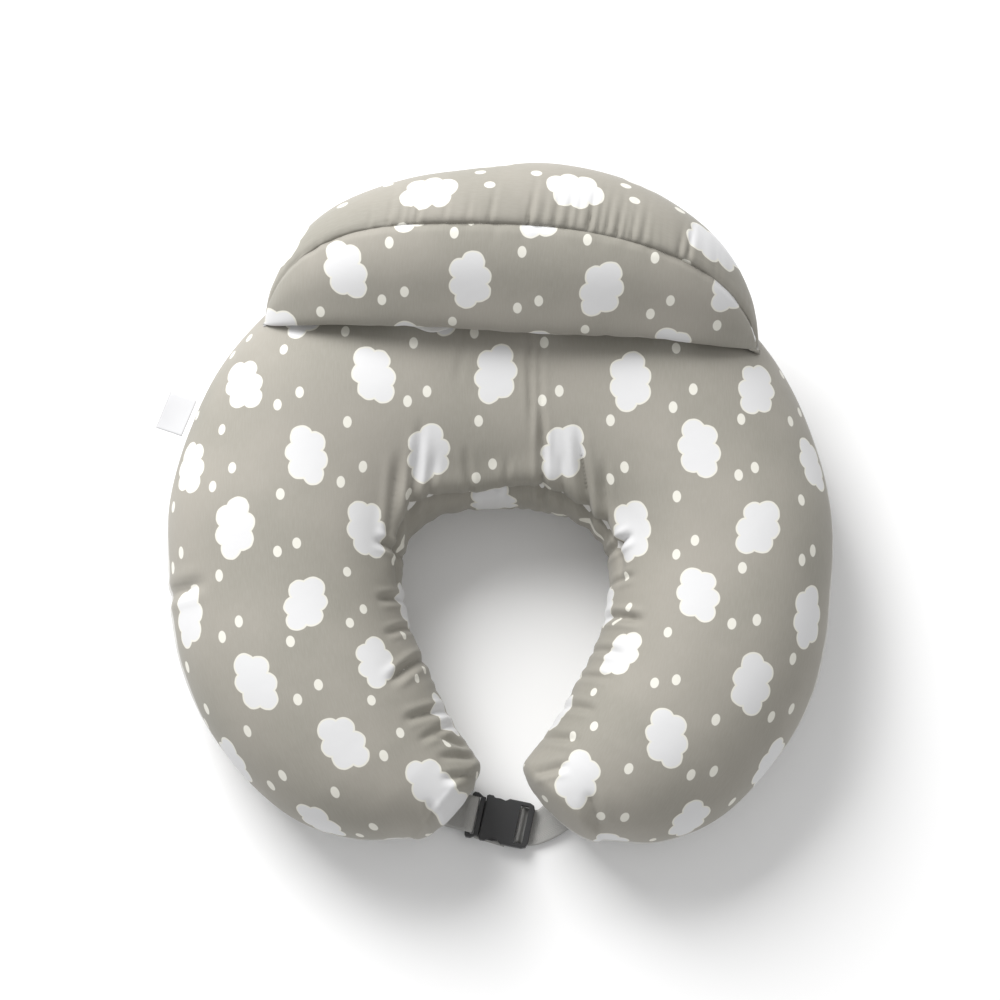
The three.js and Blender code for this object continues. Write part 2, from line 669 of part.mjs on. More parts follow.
function straps() {
  const level = -3.7;
  const left = [
    fromBuckle(-20.75, 0, -2.6, 90), fromBuckle(-20.75, 0, 2.2, 90), fromBuckle(-21.6, 0, 5, 90),
    fromBuckle(-24.2, 0, 5.7, 90), fromBuckle(-27.2, 0.2, 4.6, 90), fromBuckle(-30.6, 0.5, 0.8, 89),
    fromBuckle(-38, 1, -2.2, 84), [-47, -209, 5.8, 68], [-57, -205, 7.6, 56],
  ];
  const right = [
    fromBuckle(15.6, 0, 2.6, 90), fromBuckle(17.8, 0, 0.4, 90), fromBuckle(19.9, 0, -2.8, 90),
    fromBuckle(22.6, 0, level, 90),
    fromBuckle(29, 0.5, level, 92), [40, -221.5, 4.8, 100], [50, -214.5, 6.2, 116], [60, -207, 8.0, 127],
  ];
  const tail = [fromBuckle(-17, -3, -6.8, 84), fromBuckle(-4, -4, -6.8, 84), fromBuckle(9, -5, -6.8, 84)];
  add('left_webbing', ribbon(left, WEB_WIDTH, WEB_THICKNESS, 18), webbing());
  add('right_webbing', ribbon(right, WEB_WIDTH, WEB_THICKNESS, 20), webbing());
  add('strap_tail', ribbon(tail, WEB_WIDTH, TAIL_THICKNESS, 4), webbing());
}

straps();

// ---------------------------------------------------------------- frame
// The part's origin is the middle of its footprint, on the table.
model.updateMatrixWorld(true);
const bounds = new THREE.Box3().setFromObject(model, true);
model.position.set(-(bounds.min.x + bounds.max.x) / 2, -(bounds.min.y + bounds.max.y) / 2, -bounds.min.z);

export default model;
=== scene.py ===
# %% [markdown]
# # A horseshoe nursing pillow
# The pillow is a fibre-filled horseshoe in a printed cotton cover with a white plush underside. A small
# second cushion is sewn on its back, and a webbing strap with a side-release buckle joins the arm tips.
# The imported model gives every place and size, and this lesson makes the soft and fine parts around it.

# %% Load the fixed frame
import math

import bmesh
import bpy
import numpy as np
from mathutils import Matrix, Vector
from mathutils.bvhtree import BVHTree


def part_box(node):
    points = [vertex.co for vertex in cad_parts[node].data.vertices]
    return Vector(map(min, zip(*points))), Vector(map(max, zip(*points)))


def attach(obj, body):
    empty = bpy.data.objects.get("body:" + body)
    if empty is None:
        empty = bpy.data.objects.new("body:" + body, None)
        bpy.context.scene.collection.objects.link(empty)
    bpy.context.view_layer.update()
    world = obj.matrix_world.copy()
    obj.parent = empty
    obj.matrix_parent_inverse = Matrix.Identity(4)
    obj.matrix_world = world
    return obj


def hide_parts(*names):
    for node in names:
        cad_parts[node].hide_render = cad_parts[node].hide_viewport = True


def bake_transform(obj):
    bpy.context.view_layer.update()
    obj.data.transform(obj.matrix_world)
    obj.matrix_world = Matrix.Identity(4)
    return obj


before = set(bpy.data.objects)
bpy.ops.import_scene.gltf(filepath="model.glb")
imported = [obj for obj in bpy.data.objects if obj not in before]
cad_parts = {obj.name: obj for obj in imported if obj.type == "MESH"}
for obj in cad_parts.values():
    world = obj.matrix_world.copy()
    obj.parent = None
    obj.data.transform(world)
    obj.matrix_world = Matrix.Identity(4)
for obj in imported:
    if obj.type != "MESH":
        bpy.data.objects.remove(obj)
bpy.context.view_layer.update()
MM = 0.001

# %% [markdown]
# ## The centre of the horseshoe
# The zip runs round the back on an arc about the pillow's own centre. The tape's box gives that centre,
# so nothing has to be placed by eye. All the sizes below are in millimetres about that point.

# %% Find the centre
ZIP_TAPE_FACE = 275.5
zip_low, zip_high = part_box("zip_tape_upper")
CENTRE = np.array([(zip_low.x + zip_high.x) / 2, zip_high.y - ZIP_TAPE_FACE * MM, 0.0])
print("pillow centre, m:", CENTRE.round(4))


def in_frame(points):
    """Millimetres about the pillow's centre become metres in the row frame."""
    return np.asarray(points, float) * MM + CENTRE


# %% [markdown]
# ## Smooth curves through a few stations
# A cushion's plan is easiest to give as a few pairs of points, one on the waist opening and one on the
# outer edge. A centripetal Catmull-Rom curve passes through them without loops or overshoot.

# %% Curve helpers
def length_along(line):
    """Distance from a line's first point to each of its points."""
    return np.concatenate([[0], np.cumsum(np.linalg.norm(np.diff(line, axis=0), axis=1))])


def smooth(points, shares):
    """Points on a centripetal Catmull-Rom curve, at shares from 0 to 1 of the way along its stations."""
    points = np.asarray(points, float)
    count = len(points)
    padded = np.vstack([2 * points[0] - points[1], points, 2 * points[-1] - points[-2]])
    at = np.asarray(shares, float) * (count - 1)
    first = np.minimum(at.astype(int), count - 2)
    t = (at - first)[:, None]
    p0, p1, p2, p3 = (padded[first + k] for k in range(4))
    gaps = [np.sqrt(np.linalg.norm(b - a, axis=1, keepdims=True)) for a, b in ((p0, p1), (p1, p2), (p2, p3))]
    d1 = np.where(gaps[1] < 1e-4, 1, gaps[1])
    d0, d2 = (np.where(gap < 1e-4, d1, gap) for gap in (gaps[0], gaps[2]))
    m1 = ((p1 - p0) / d0 - (p2 - p0) / (d0 + d1) + (p2 - p1) / d1) * d1
    m2 = ((p2 - p1) / d1 - (p3 - p1) / (d1 + d2) + (p3 - p2) / d2) * d1
    c2 = 3 * (p2 - p1) - 2 * m1 - m2
    c3 = 2 * (p1 - p2) + m1 + m2
    return p1 + t * (m1 + t * (c2 + t * c3))


# %% [markdown]
# ## Stations of the two arms
# Each arm is a short table of stations: the waist, which is round, and then the free part that leads to
# the tip. Round the back the outer edge is one circle, so a compass angle says where each station meets it.

# %% Stations of the two arms
OUTER_RADIUS = 274


def arm(side, waist, free):
    """Rows of inner x, y, outer x, y, top and underside height, from the back towards the tip."""
    rows = []
    for degrees, x, y in waist:
        angle = math.radians(degrees)
        outer = (side * OUTER_RADIUS * math.sin(angle), OUTER_RADIUS * math.cos(angle))
        rows.append([side * x, y, *outer, 146 - 0.07 * degrees, 0])
    rows += [[side * x, y, side * outer_x, outer_y, top, under]
             for x, y, outer_x, outer_y, top, under in free]
    return rows


left_arm = arm(-1, [
    (13, 18, 31), (26, 40, 28), (40, 58, 21), (54, 71, 10), (68, 78, -6), (82, 80, -24), (98, 78, -46),
], [
    (73, -68, 262, -96, 138, 0), (63, -92, 241, -146, 136, 0), (52, -116, 206, -192, 133, 0),
    (42, -138, 163, -226, 127, 0), (30, -158, 116, -240, 117, 6), (18, -176, 72, -239, 104, 17),
])
right_arm = arm(1, [
    (13, 20, 31), (26, 42, 28), (40, 62, 21), (54, 77, 10), (68, 86, -6), (82, 89, -24), (98, 87, -46),
], [
    (83, -68, 264, -96, 138, 0), (73, -92, 246, -146, 136, 0), (60, -116, 214, -190, 133, 0),
    (48, -138, 174, -226, 127, 0), (34, -160, 128, -243, 117, 6), (20, -178, 84, -241, 106, 17),
])
stations = np.array(left_arm[::-1] + [[1, 32, 0, OUTER_RADIUS, 146, 0]] + right_arm, float)
print("stations along the horseshoe:", len(stations))

# %% [markdown]
# ## Sections of the horseshoe
# Each section is a superellipse that is fuller above and flat below, where the pillow lies on the table.
# The arm tips are rounded off by shrinking the last section while it moves ahead.

# %% Section helpers
WIDEST_SHARE = 0.42
TOP_POWER = 2.15
UNDER_POWER = 2.6
UNDER_FLATTEN = 1.05
CAP_DEPTH = 14


def sections_along(count, cap_angles):
    """Centre, across, half width, top and underside of each section, tips included."""
    shares = np.linspace(0, 1, count)
    inner, outer, heights = (smooth(stations[:, k:k + 2], shares) for k in (0, 2, 4))
    across = outer - inner
    half = np.linalg.norm(across, axis=1) / 2
    across /= 2 * half[:, None]
    centre = (inner + outer) / 2
    top, under = heights[:, 0], np.maximum(heights[:, 1], 0)
    rows = np.column_stack([centre, across, half, top, under])

    def cap(row, degrees):
        ahead = np.array([-row[3], row[2]])
        ahead *= -1 if ahead[1] > 0 else 1
        shrink = math.cos(math.radians(degrees))
        middle = row[6] + (row[5] - row[6]) * WIDEST_SHARE
        place = row[:2] + ahead * CAP_DEPTH * math.sin(math.radians(degrees))
        return [*place, row[2], row[3], row[4] * shrink,
                middle + (row[5] - middle) * shrink, middle - (middle - row[6]) * shrink]

    first = [cap(rows[0], a) for a in cap_angles[::-1]]
    last = [cap(rows[-1], a) for a in cap_angles]
    return np.vstack([first, rows, last])


def signed_power(value, power):
    return np.sign(value) * np.abs(value) ** (2 / power)


def section_points(sections, turns, depth=0.0):
    """A grid of points at a depth below the cover; turn 0 is the outer edge and 0.25 the crown."""
    centre, across = sections[:, None, 0:2], sections[:, None, 2:4]
    half, top, under = (sections[:, None, k] for k in (4, 5, 6))
    angle = 2 * math.pi * np.atleast_2d(turns)
    sine, cosine = np.sin(angle), np.cos(angle)
    upper = sine >= 0
    power = np.where(upper, TOP_POWER, UNDER_POWER)
    reach = np.maximum(half - depth, 0.6) * signed_power(cosine, power)
    widest = under + (top - under) * WIDEST_SHARE
    rise = np.where(upper, np.maximum(top - depth - widest, 0.6), (widest - under) * UNDER_FLATTEN)
    height = widest + rise * signed_power(sine, power)
    floor = np.minimum(under + depth, widest)
    height = np.where(upper, height, np.clip(height, floor, widest))
    plan = centre + across * reach[..., None]
    return np.concatenate([plan, height[..., None]], axis=2)


# %% [markdown]
# ## From a grid of points to a mesh
# Every fabric panel here is a grid of points, so one helper makes them all. It also stores the cloth's
# own flat coordinates, in metres, as a UV map: the print and the weave are drawn in those, and so they
# turn and stretch with the fabric.

# %% Mesh helpers
def grid_faces(rows, columns, round_rows=False):
    """Quads of a grid of points, closed round its columns if asked."""
    quads_across = columns if round_rows else columns - 1
    row, column = np.meshgrid(np.arange(rows - 1), np.arange(quads_across), indexing="ij")
    beside = (column + 1) % columns
    quads = np.stack([row * columns + column, row * columns + beside,
                      (row + 1) * columns + beside, (row + 1) * columns + column], axis=-1)
    return quads.reshape(-1, 4)


def mesh_object(name, points, faces, uv=None):
    """A new smooth-shaded object; uv holds one pair for each point."""
    mesh = bpy.data.meshes.new(name)
    mesh.from_pydata([tuple(p) for p in np.asarray(points).reshape(-1, 3)], [], [list(f) for f in faces])
    if uv is not None:
        layer = mesh.uv_layers.new(name="cloth")
        corners = np.zeros(len(mesh.loops), np.int32)
        mesh.loops.foreach_get("vertex_index", corners)
        layer.data.foreach_set("uv", np.asarray(uv, np.float32).reshape(-1, 2)[corners].ravel())
    mesh.update()
    mesh.shade_smooth()
    thing = bpy.data.objects.new(name, mesh)
    bpy.context.scene.collection.objects.link(thing)
    return thing


def closed_body(name, rings):
    """A closed body through a grid of rings, with a fan at each end."""
    rows, columns = rings.shape[:2]
    points = np.vstack([rings.reshape(-1, 3), rings[0].mean(axis=0), rings[-1].mean(axis=0)])
    faces = [tuple(quad) for quad in grid_faces(rows, columns, round_rows=True)]
    ends = ((0, rows * columns, True), ((rows - 1) * columns, rows * columns + 1, False))
    for start, middle, turned in ends:
        for k in range(columns):
            pair = (start + k, start + (k + 1) % columns)
            faces.append((middle, *(pair[::-1] if turned else pair)))
    return mesh_object(name, points, faces)


def grid_normals(points, round_rows=False):
    """Unit normals of a grid of points; along its rows, then across its columns."""
    along = np.gradient(points, axis=0)
    if round_rows:
        across = (np.roll(points, -1, axis=1) - np.roll(points, 1, axis=1)) / 2
    else:
        across = np.gradient(points, axis=1)
    normal = np.cross(across, along)
    return normal / np.maximum(np.linalg.norm(normal, axis=2, keepdims=True), 1e-9)


def add_modifier(thing, kind, **settings):
    modifier = thing.modifiers.new(kind.title(), kind)
    for key, value in settings.items():
        setattr(modifier, key, value)
    return modifier


# %% [markdown]
# ## The flat pattern of the cover
# A print shows how cloth was cut. The panel is cut with straighter arms than the stuffed pillow has, so
# the print turns with the arms by about a third of a right angle at the tips. The pattern is found by
# walking along a line near the crown at its real length, while turning less than the pillow does, and
# then across the panel, with every step as long as it is on the pillow.

# %% Flat pattern
PRINT_TURN = math.radians(30)        # how far the print has turned at the arm tips
PATTERN_TURN = 0.22                  # the line that keeps its length, as a turn of the section


def flat_pattern(points, turns, sections):
    """Flat cloth coordinates, in metres, for each point of the cover's grid."""
    reference = int(np.argmin(np.abs(np.asarray(turns) - PATTERN_TURN)))
    heading = np.unwrap(np.arctan2(sections[:, 2], sections[:, 3]))
    beyond = np.clip((np.abs(heading) - math.radians(70)) / math.radians(70), 0, 1)
    turned = np.sign(heading) * PRINT_TURN * beyond ** 1.3
    sideways = grid_normals(points)[..., :2]
    if np.sum(sideways * (points[..., :2] - sections[:, None, :2])) < 0:
        sideways = -sideways
    sideways /= np.maximum(np.linalg.norm(sideways, axis=2, keepdims=True), 1e-6)

    def lay_flat(steps, outward, angle):
        """A step on the pillow, laid flat: its height becomes length on the outward side, and it turns."""
        plan = steps[..., :2]
        extra = np.linalg.norm(steps, axis=-1, keepdims=True) - np.linalg.norm(plan, axis=-1, keepdims=True)
        x, y = np.moveaxis(plan + outward * extra, -1, 0)
        cosine, sine = np.cos(angle), np.sin(angle)
        return np.stack([x * cosine - y * sine, x * sine + y * cosine], axis=-1)

    line = points[:, reference]
    moves = lay_flat(np.diff(line, axis=0), sideways[:-1, reference], (turned[1:] + turned[:-1]) / 2)
    flat_line = np.vstack([[0, 0], np.cumsum(moves, axis=0)])
    back = int(np.argmin(np.abs(heading)))
    flat_line += line[back, :2] - flat_line[back]
    flat = np.repeat(flat_line[:, None, :], points.shape[1], axis=1)
    for order in (slice(reference, None), slice(reference, None, -1)):
        steps = lay_flat(np.diff(points[:, order], axis=1), sideways[:, order][:, :-1], turned[:, None])
        flat[:, order][:, 1:] += np.cumsum(steps, axis=1)
    return flat * MM


# %% [markdown]
# ## Folds and puckers
# A stuffed horseshoe has too much cloth round its opening, and the seam gathers it into short puckers.
# Each fold is a groove along a short line, seen from above, with a soft shoulder on both sides. The
# stronger ones are listed one by one, and many weak ones follow the seam with a fixed random seed.

# %% Fold helpers
def fold(points, normals, start, end, depth, width, shoulder=0.35):
    """Presses a groove into a grid of points along a line in plan, fading towards the line's end."""
    start, end = np.array(start, float), np.array(end, float)
    along = end - start
    length = np.linalg.norm(along)
    along /= length
    offset = points[..., :2] - start
    share = offset @ along / length
    side = np.abs(offset[..., 0] * along[1] - offset[..., 1] * along[0])
    ends = np.clip(share * 4 + 1, 0, 1) * np.clip((1.15 - share) * 2, 0, 1)
    fade = ends ** 2 * (3 - 2 * ends)
    groove = np.exp(-side / width)
    lip = shoulder * np.exp(-((side - 2.2 * width) / width) ** 2)
    upward = np.clip(normals[..., 2:3] + 0.45, 0, 1)
    return points - normals * ((groove - lip) * fade * depth)[..., None] * upward


def ripples(position, seed, spacing, width, depth):
    """Irregular grooves along a line: 0 between them, down to -depth within them."""
    rng = np.random.default_rng(seed)
    low, high = position.min(), position.max()
    count = max(int((high - low) / spacing), 1)
    total = np.zeros_like(position)
    for place in np.linspace(low, high, count) + rng.uniform(-0.4, 0.4, count) * spacing:
        wide = width * rng.uniform(0.6, 1.5)
        total -= rng.uniform(0.15, 1.0) ** 1.5 * np.exp(-((position - place) / wide) ** 2)
    return total * depth


def lumps(points, seed, wavelength, height):
    """A slow unevenness of the filling."""
    rng = np.random.default_rng(seed)
    total = np.zeros(points.shape[:-1])
    for _ in range(7):
        direction = rng.normal(size=3)
        direction /= np.linalg.norm(direction)
        length = wavelength * rng.uniform(0.7, 1.4)
        phase = rng.uniform(0, 6.3)
        total += np.sin(points @ direction * 2 * math.pi / length + phase)
    return total * height / 3


# %% [markdown]
# ## Let the cloth settle
# The filling presses the cover out from inside. The solver gets the whole closed cover, its seams and
# its flat underside held still, and a little too much cloth near the opening, so real creases form
# there. Gravity is off, because the filling carries the cloth, and no point may move far.

# %% Cloth solver helper
SETTLE_FRAMES = 20
FILLING_PRESSURE = 4.0
SPARE_CLOTH = 0.09                   # share by which the cloth near the opening is too long


def settle(name, points, held, spare, furthest):
    """Points of a closed grid after the cloth solver; held and spare give a share for every point."""
    thing = closed_body(name, in_frame(points))
    thing.data.update()
    count = points.shape[0] * points.shape[1]
    groups = {"held": np.append(held.ravel(), [1, 1]), "spare": np.append(spare.ravel(), [0, 0])}
    for label, weights in groups.items():
        group = thing.vertex_groups.new(name=label)
        for weight in np.unique(weights.round(1)):
            if weight > 0:
                group.add(np.flatnonzero(weights.round(1) == weight).tolist(), float(weight), "REPLACE")
    cloth = add_modifier(thing, "CLOTH")
    solver = cloth.settings
    solver.quality = 6
    solver.mass = 0.25
    solver.tension_stiffness = solver.compression_stiffness = solver.shear_stiffness = 20
    solver.bending_stiffness = 0.4
    solver.use_pressure = True
    solver.uniform_pressure_force = FILLING_PRESSURE
    solver.effector_weights.gravity = 0
    solver.vertex_group_mass = "held"
    solver.vertex_group_shrink = "spare"
    solver.shrink_min, solver.shrink_max = 0.0, -SPARE_CLOTH
    cloth.collision_settings.use_collision = False
    cloth.point_cache.frame_start, cloth.point_cache.frame_end = 1, SETTLE_FRAMES
    scene = bpy.context.scene
    for step in range(1, SETTLE_FRAMES + 1):
        scene.frame_set(step)
    made = thing.evaluated_get(bpy.context.evaluated_depsgraph_get())
    settled = np.empty(len(made.data.vertices) * 3, np.float32)
    made.data.vertices.foreach_get("co", settled)
    bpy.data.objects.remove(thing)
    scene.frame_set(1)
    settled = (settled.reshape(-1, 3)[:count].astype(float) - CENTRE) / MM
    move = settled.reshape(points.shape) - points
    far = np.linalg.norm(move, axis=2, keepdims=True)
    print(name, "mean and largest move, mm:", round(float(far.mean()), 2), round(float(far.max()), 2))
    return points + move * np.minimum(1, furthest / np.maximum(far, 1e-6))


# %% [markdown]
# ## Shape the horseshoe
# The cover is one closed grid of sections and turns. The seams press grooves into it, the cloth puckers
# beside the opening's seam, and the filling is a little lumpy. Only then does the solver run.

# %% Shape the horseshoe
COVER_SECTIONS = 200
COVER_TURNS = 96
OUTER_SEAM = 2                       # steps above the widest line
INNER_SEAM = 57                      # steps, on the opening's wall below the widest line
SEAM_DROP = 3.2                      # steps by which the outer seam is lower at the arm tips
CAP_ANGLES = [12, 24, 36, 48, 58, 67, 75, 82, 87]

sections = sections_along(COVER_SECTIONS, CAP_ANGLES)
turns = np.arange(COVER_TURNS) / COVER_TURNS
seam_away = (np.arange(COVER_TURNS) - OUTER_SEAM + COVER_TURNS // 2) % COVER_TURNS - COVER_TURNS // 2
towards_tip = np.clip((-sections[:, 1] - 90) / 70, 0, 1)
seam_drop = SEAM_DROP * towards_tip[:, None] * np.exp(-(seam_away[None, :] / 12) ** 2)
cut_turns = turns[None, :] - seam_drop / COVER_TURNS
body = section_points(sections, cut_turns)


def outward_normals(grid):
    """Unit normals of the cover's grid that point out of the pillow."""
    normal = grid_normals(grid, round_rows=True)
    on_the_crown = normal[len(normal) // 2, grid.shape[1] // 4, 2]
    return normal if on_the_crown > 0 else -normal


normals = outward_normals(body)
inner_place = length_along(body[:, COVER_TURNS // 2, :2])
seam_reach = np.abs(turns * COVER_TURNS - INNER_SEAM)[None, :]
pucker_fade = np.exp(-(seam_reach / 9.0) ** 2)
slant = 0.25 * (seam_reach - 6)
body += normals * (ripples(inner_place[:, None] + slant, 11, 13, 3.4, 4.2) * pucker_fade)[..., None]

seam_place = np.arange(len(body))[:, None]
for seam, wide, deep in ((OUTER_SEAM, 1.1, 1.6), (INNER_SEAM, 1.3, 3.0)):
    steps_away = np.abs((turns * COVER_TURNS)[None, :] - seam)
    groove = deep * np.exp(-(steps_away / wide) ** 2) * (1 + 0.25 * np.sin(seam_place * 0.9))
    body -= normals * groove[..., None]
body += normals * lumps(body, 3, 150, 1.6)[..., None] * np.clip(normals[..., 2:3] + 0.3, 0, 1)
print("length of the opening's wall, mm:", round(float(inner_place[-1])))

# %% [markdown]
# ## The folds that are listed one by one
# Each row gives a fold's start and end in plan, its depth and its width, all in millimetres.

# %% Fold list
FOLDS = [
    # pleats down from the head cushion's crease
    ((23, 162), (26, 84), 2.6, 2.4), ((31, 162), (33, 70), 2.2, 2.2), ((-30, 160), (-34, 118), 1.4, 3.0),
    # folds that run from the opening's back wall up the crown
    ((34, 36), (34, 96), 4.5, 2.6), ((72, 16), (62, 82), 5.5, 3.2), ((86, 4), (82, 56), 4.0, 3.2),
    ((52, 26), (48, 62), 2.4, 2.6), ((-88, 2), (-82, 62), 4.2, 3.4), ((-74, 8), (-64, 84), 4.6, 3.0),
    ((-60, 20), (-52, 66), 2.4, 2.6), ((-24, 32), (-28, 70), 2.2, 2.6), ((4, 34), (6, 62), 1.6, 2.4),
    # puckers on the left arm's inner edge
    ((-80, -10), (-100, -4), 5.0, 2.8), ((-78, -46), (-98, -52), 4.2, 2.8),
    ((-74, -70), (-92, -80), 3.0, 2.4), ((-62, -94), (-88, -120), 6.0, 3.2),
    ((-47, -138), (-76, -150), 4.6, 3.0), ((-40, -150), (-64, -166), 3.2, 2.6),
    ((-24, -176), (-48, -178), 3.6, 2.6), ((-31, -166), (-52, -160), 3.0, 2.4),
    # puckers on the right arm's inner edge
    ((88, -8), (106, 0), 5.0, 2.8), ((90, -34), (108, -32), 3.0, 2.4), ((88, -62), (114, -70), 5.5, 3.0),
    ((76, -88), (98, -96), 3.4, 2.6), ((66, -110), (88, -116), 3.0, 2.4),
    ((52, -134), (76, -142), 3.4, 3.0), ((38, -160), (62, -166), 3.2, 3.0),
    # the tips and the left outer edge
    ((78, -232), (70, -208), 3.2, 4.5), ((30, -190), (54, -186), 3.4, 3.0),
    ((-22, -192), (-46, -196), 4.2, 3.0), ((-50, -234), (-58, -214), 3.0, 3.0),
    ((-272, -44), (-238, -40), 5.0, 4.5),
]
print("folds:", len(FOLDS))

# %% [markdown]
# ## Settle, refine and crease
# The solver works on a coarse grid, because a fine one takes minutes. The grid is doubled afterwards, and
# the sharpest creases are pressed into the fine one: a solver this quick can't fold cloth as tightly.

# %% Settle, refine and crease the cover
FURTHEST_MOVE = 7.0
WALL_CREASE = 42.5                   # steps: a crease along the top of the opening's back wall

body[..., 2] = np.maximum(body[..., 2], 0)
steps_round = np.arange(COVER_TURNS)[None, :] + 0 * seam_place
held = (np.abs(seam_away)[None, :] < 1) | (np.abs(steps_round - INNER_SEAM) < 1) | (body[..., 2] < 10)
spare = np.exp(-((steps_round - 46) / 7.0) ** 2)
body = settle("cover_to_settle", body, held.astype(float), spare, FURTHEST_MOVE)
print("points held still:", int(held.sum()), "of", held.size)


def finer(grid, closed=False):
    """Twice as many rows and, on a closed grid, columns; new points come from four neighbours."""
    before = np.concatenate([2 * grid[:1] - grid[1:2], grid[:-2]])
    after = np.concatenate([grid[2:], 2 * grid[-1:] - grid[-2:-1]])
    between = (9 * (grid[:-1] + grid[1:]) - before - after) / 16
    made = np.empty((2 * len(grid) - 1, *grid.shape[1:]))
    made[::2], made[1::2] = grid, between
    if not closed:
        return made
    beside = [np.roll(made, -k, axis=1) for k in (-1, 0, 1, 2)]
    between = (9 * (beside[1] + beside[2]) - beside[0] - beside[3]) / 16
    return np.stack([made, between], axis=2).reshape(len(made), -1, made.shape[2])


base = finer(section_points(sections, cut_turns), closed=True)
body = finer(body, closed=True)
sections = finer(sections)
fine_turns = np.arange(2 * COVER_TURNS) / (2 * COVER_TURNS)
normals = outward_normals(body)

wall_place = length_along(body[:, COVER_TURNS, :2])
near_back = np.clip((1.5 - np.abs(np.arctan2(sections[:, 2], sections[:, 3]))) / 0.5, 0, 1)[:, None]
below = (fine_turns * COVER_TURNS)[None, :] - WALL_CREASE - 0.9 * np.sin(wall_place[:, None] / 15)
crease_depth = 6.5 * np.exp(-np.abs(below) / 0.9) - 3.6 * np.exp(-((below + 3.2) / 2.0) ** 2)
body -= normals * (crease_depth * near_back)[..., None]
for start, end, depth, width in FOLDS:
    body = fold(body, normals, start, end, depth, width)
body[..., 2] = np.maximum(body[..., 2], 0)

# %% [markdown]
# ## Flatten the cover behind the zip
# A zip is stiffer than cotton, so the cover lies against its tapes and stands nearly upright there. The
# points in a band round the back are pushed out to one radius, and the push fades at the band's edges.

# %% Band behind the zip
ZIP_HEIGHT = 80
BEHIND_ZIP = 274.1                   # radius of the cover behind the tapes
radius = np.linalg.norm(body[..., :2], axis=2)
off_arc = np.abs(np.degrees(np.arctan2(body[..., 0], body[..., 1])))
beside_zip = np.clip((20 - np.abs(body[..., 2] - ZIP_HEIGHT)) / 8, 0, 1)
beside_zip *= np.clip((44 - off_arc) / 5, 0, 1) * (radius > 240)
body[..., :2] *= 1 + (beside_zip * np.maximum(BEHIND_ZIP / radius - 1, 0))[..., None]
print("cover grid:", body.shape[:2], "highest point, mm:", round(float(body[..., 2].max()), 1))

# %% [markdown]
# ## Cut the two cover panels
# The printed panel goes over the crown from seam to seam, and the plush one round the underside.

# %% Cover panels
def ring_grid(points, first, last):
    """The columns of a closed grid from first to last, both included."""
    return points[:, np.arange(first, last + 1) % points.shape[1]]


def close_tips(thing, rows, columns):
    """Joins the last ring of each arm tip with a fan, so that the tips are closed."""
    mesh = bmesh.new()
    mesh.from_mesh(thing.data)
    layer = mesh.loops.layers.uv.active
    for start in (0, (rows - 1) * columns):
        mesh.verts.ensure_lookup_table()
        ring = [mesh.verts[start + k] for k in range(columns)]
        middle = mesh.verts.new(sum((v.co for v in ring), Vector()) / columns)
        for a, b in zip(ring, ring[1:]):
            face = mesh.faces.new((middle, b, a) if start == 0 else (middle, a, b))
            face.smooth = True
            for loop in face.loops:
                known = next(other for other in a.link_loops if other.face != face)
                loop[layer].uv = known[layer].uv
    mesh.to_mesh(thing.data)
    mesh.free()


def cover_panel(name, first, last):
    """The cover between two of its coarse steps, with the flat pattern of the smooth pillow."""
    steps = np.arange(2 * first, 2 * last + 1)
    creased, plain = (ring_grid(grid, steps[0], steps[-1]) for grid in (body, base))
    uv = flat_pattern(plain, steps / (2 * COVER_TURNS), sections)
    panel = mesh_object(name, in_frame(creased), grid_faces(*creased.shape[:2]), uv)
    close_tips(panel, *creased.shape[:2])
    print(name, "faces:", len(panel.data.polygons))
    return panel


printed_cover = cover_panel("printed_cover", OUTER_SEAM, INNER_SEAM)
plush_underside = cover_panel("plush_underside", INNER_SEAM, COVER_TURNS + OUTER_SEAM)

# %% [markdown]
# ## The inner pillow
# Under the zipped cover is a plain cotton casing stuffed with polyester fibre. It fills the cover, so it
# is the same horseshoe a few millimetres smaller, in two cut panels, with the fibre inside it.

# %% Inner casing and filling
CASING_DEPTH = 6.0
FILL_DEPTH = 9.0
CASING_STEPS = 24
inner_sections = sections_along(72, [28, 54, 70])[2:-2]


def inner_panel(name, first, last):
    """A panel of the inner pillow between two turns of the section."""
    points = section_points(inner_sections, np.linspace(first, last, CASING_STEPS + 1), CASING_DEPTH)
    return mesh_object(name, in_frame(points), grid_faces(*points.shape[:2]), points[..., :2] * MM)


casing_top = inner_panel("inner_pillow_top", 0.0, 0.5)
casing_under = inner_panel("inner_pillow_underside", 0.5, 1.0)
fill_turns = np.arange(32) / 32
pillow_fibre = closed_body("pillow_fibre", in_frame(section_points(inner_sections, fill_turns, FILL_DEPTH)))
print("inner pillow sections:", len(inner_sections))

# %% [markdown]
# ## Where the crown is
# The head cushion rests on the pillow, so its seam and underside follow the pillow's crown. A ray sent
# straight down on the finished cover finds the height at any place.

# %% Height of the crown
crown_tree = BVHTree.FromPolygons([tuple(v.co) for v in printed_cover.data.vertices],
                                  [tuple(p.vertices) for p in printed_cover.data.polygons])


def crown_height(x, y):
    """Height of the cover, in millimetres, above a place given about the pillow's centre."""
    start = Vector(in_frame([x, y, 400]))
    hit = crown_tree.ray_cast(start, Vector((0, 0, -1)))[0]
    return hit.z / MM if hit else 40.0


print("crown height at the back, mm:", round(crown_height(9, 164), 1))

# %% [markdown]
# ## The head cushion
# A half-moon cushion is sewn to the pillow along its straight front edge. Its printed front panel meets
# a printed gusset along an arched seam, where the gusset is gathered, and its back is plush. It is made
# in its own frame: x along the seam that holds it, y towards the back and z up.

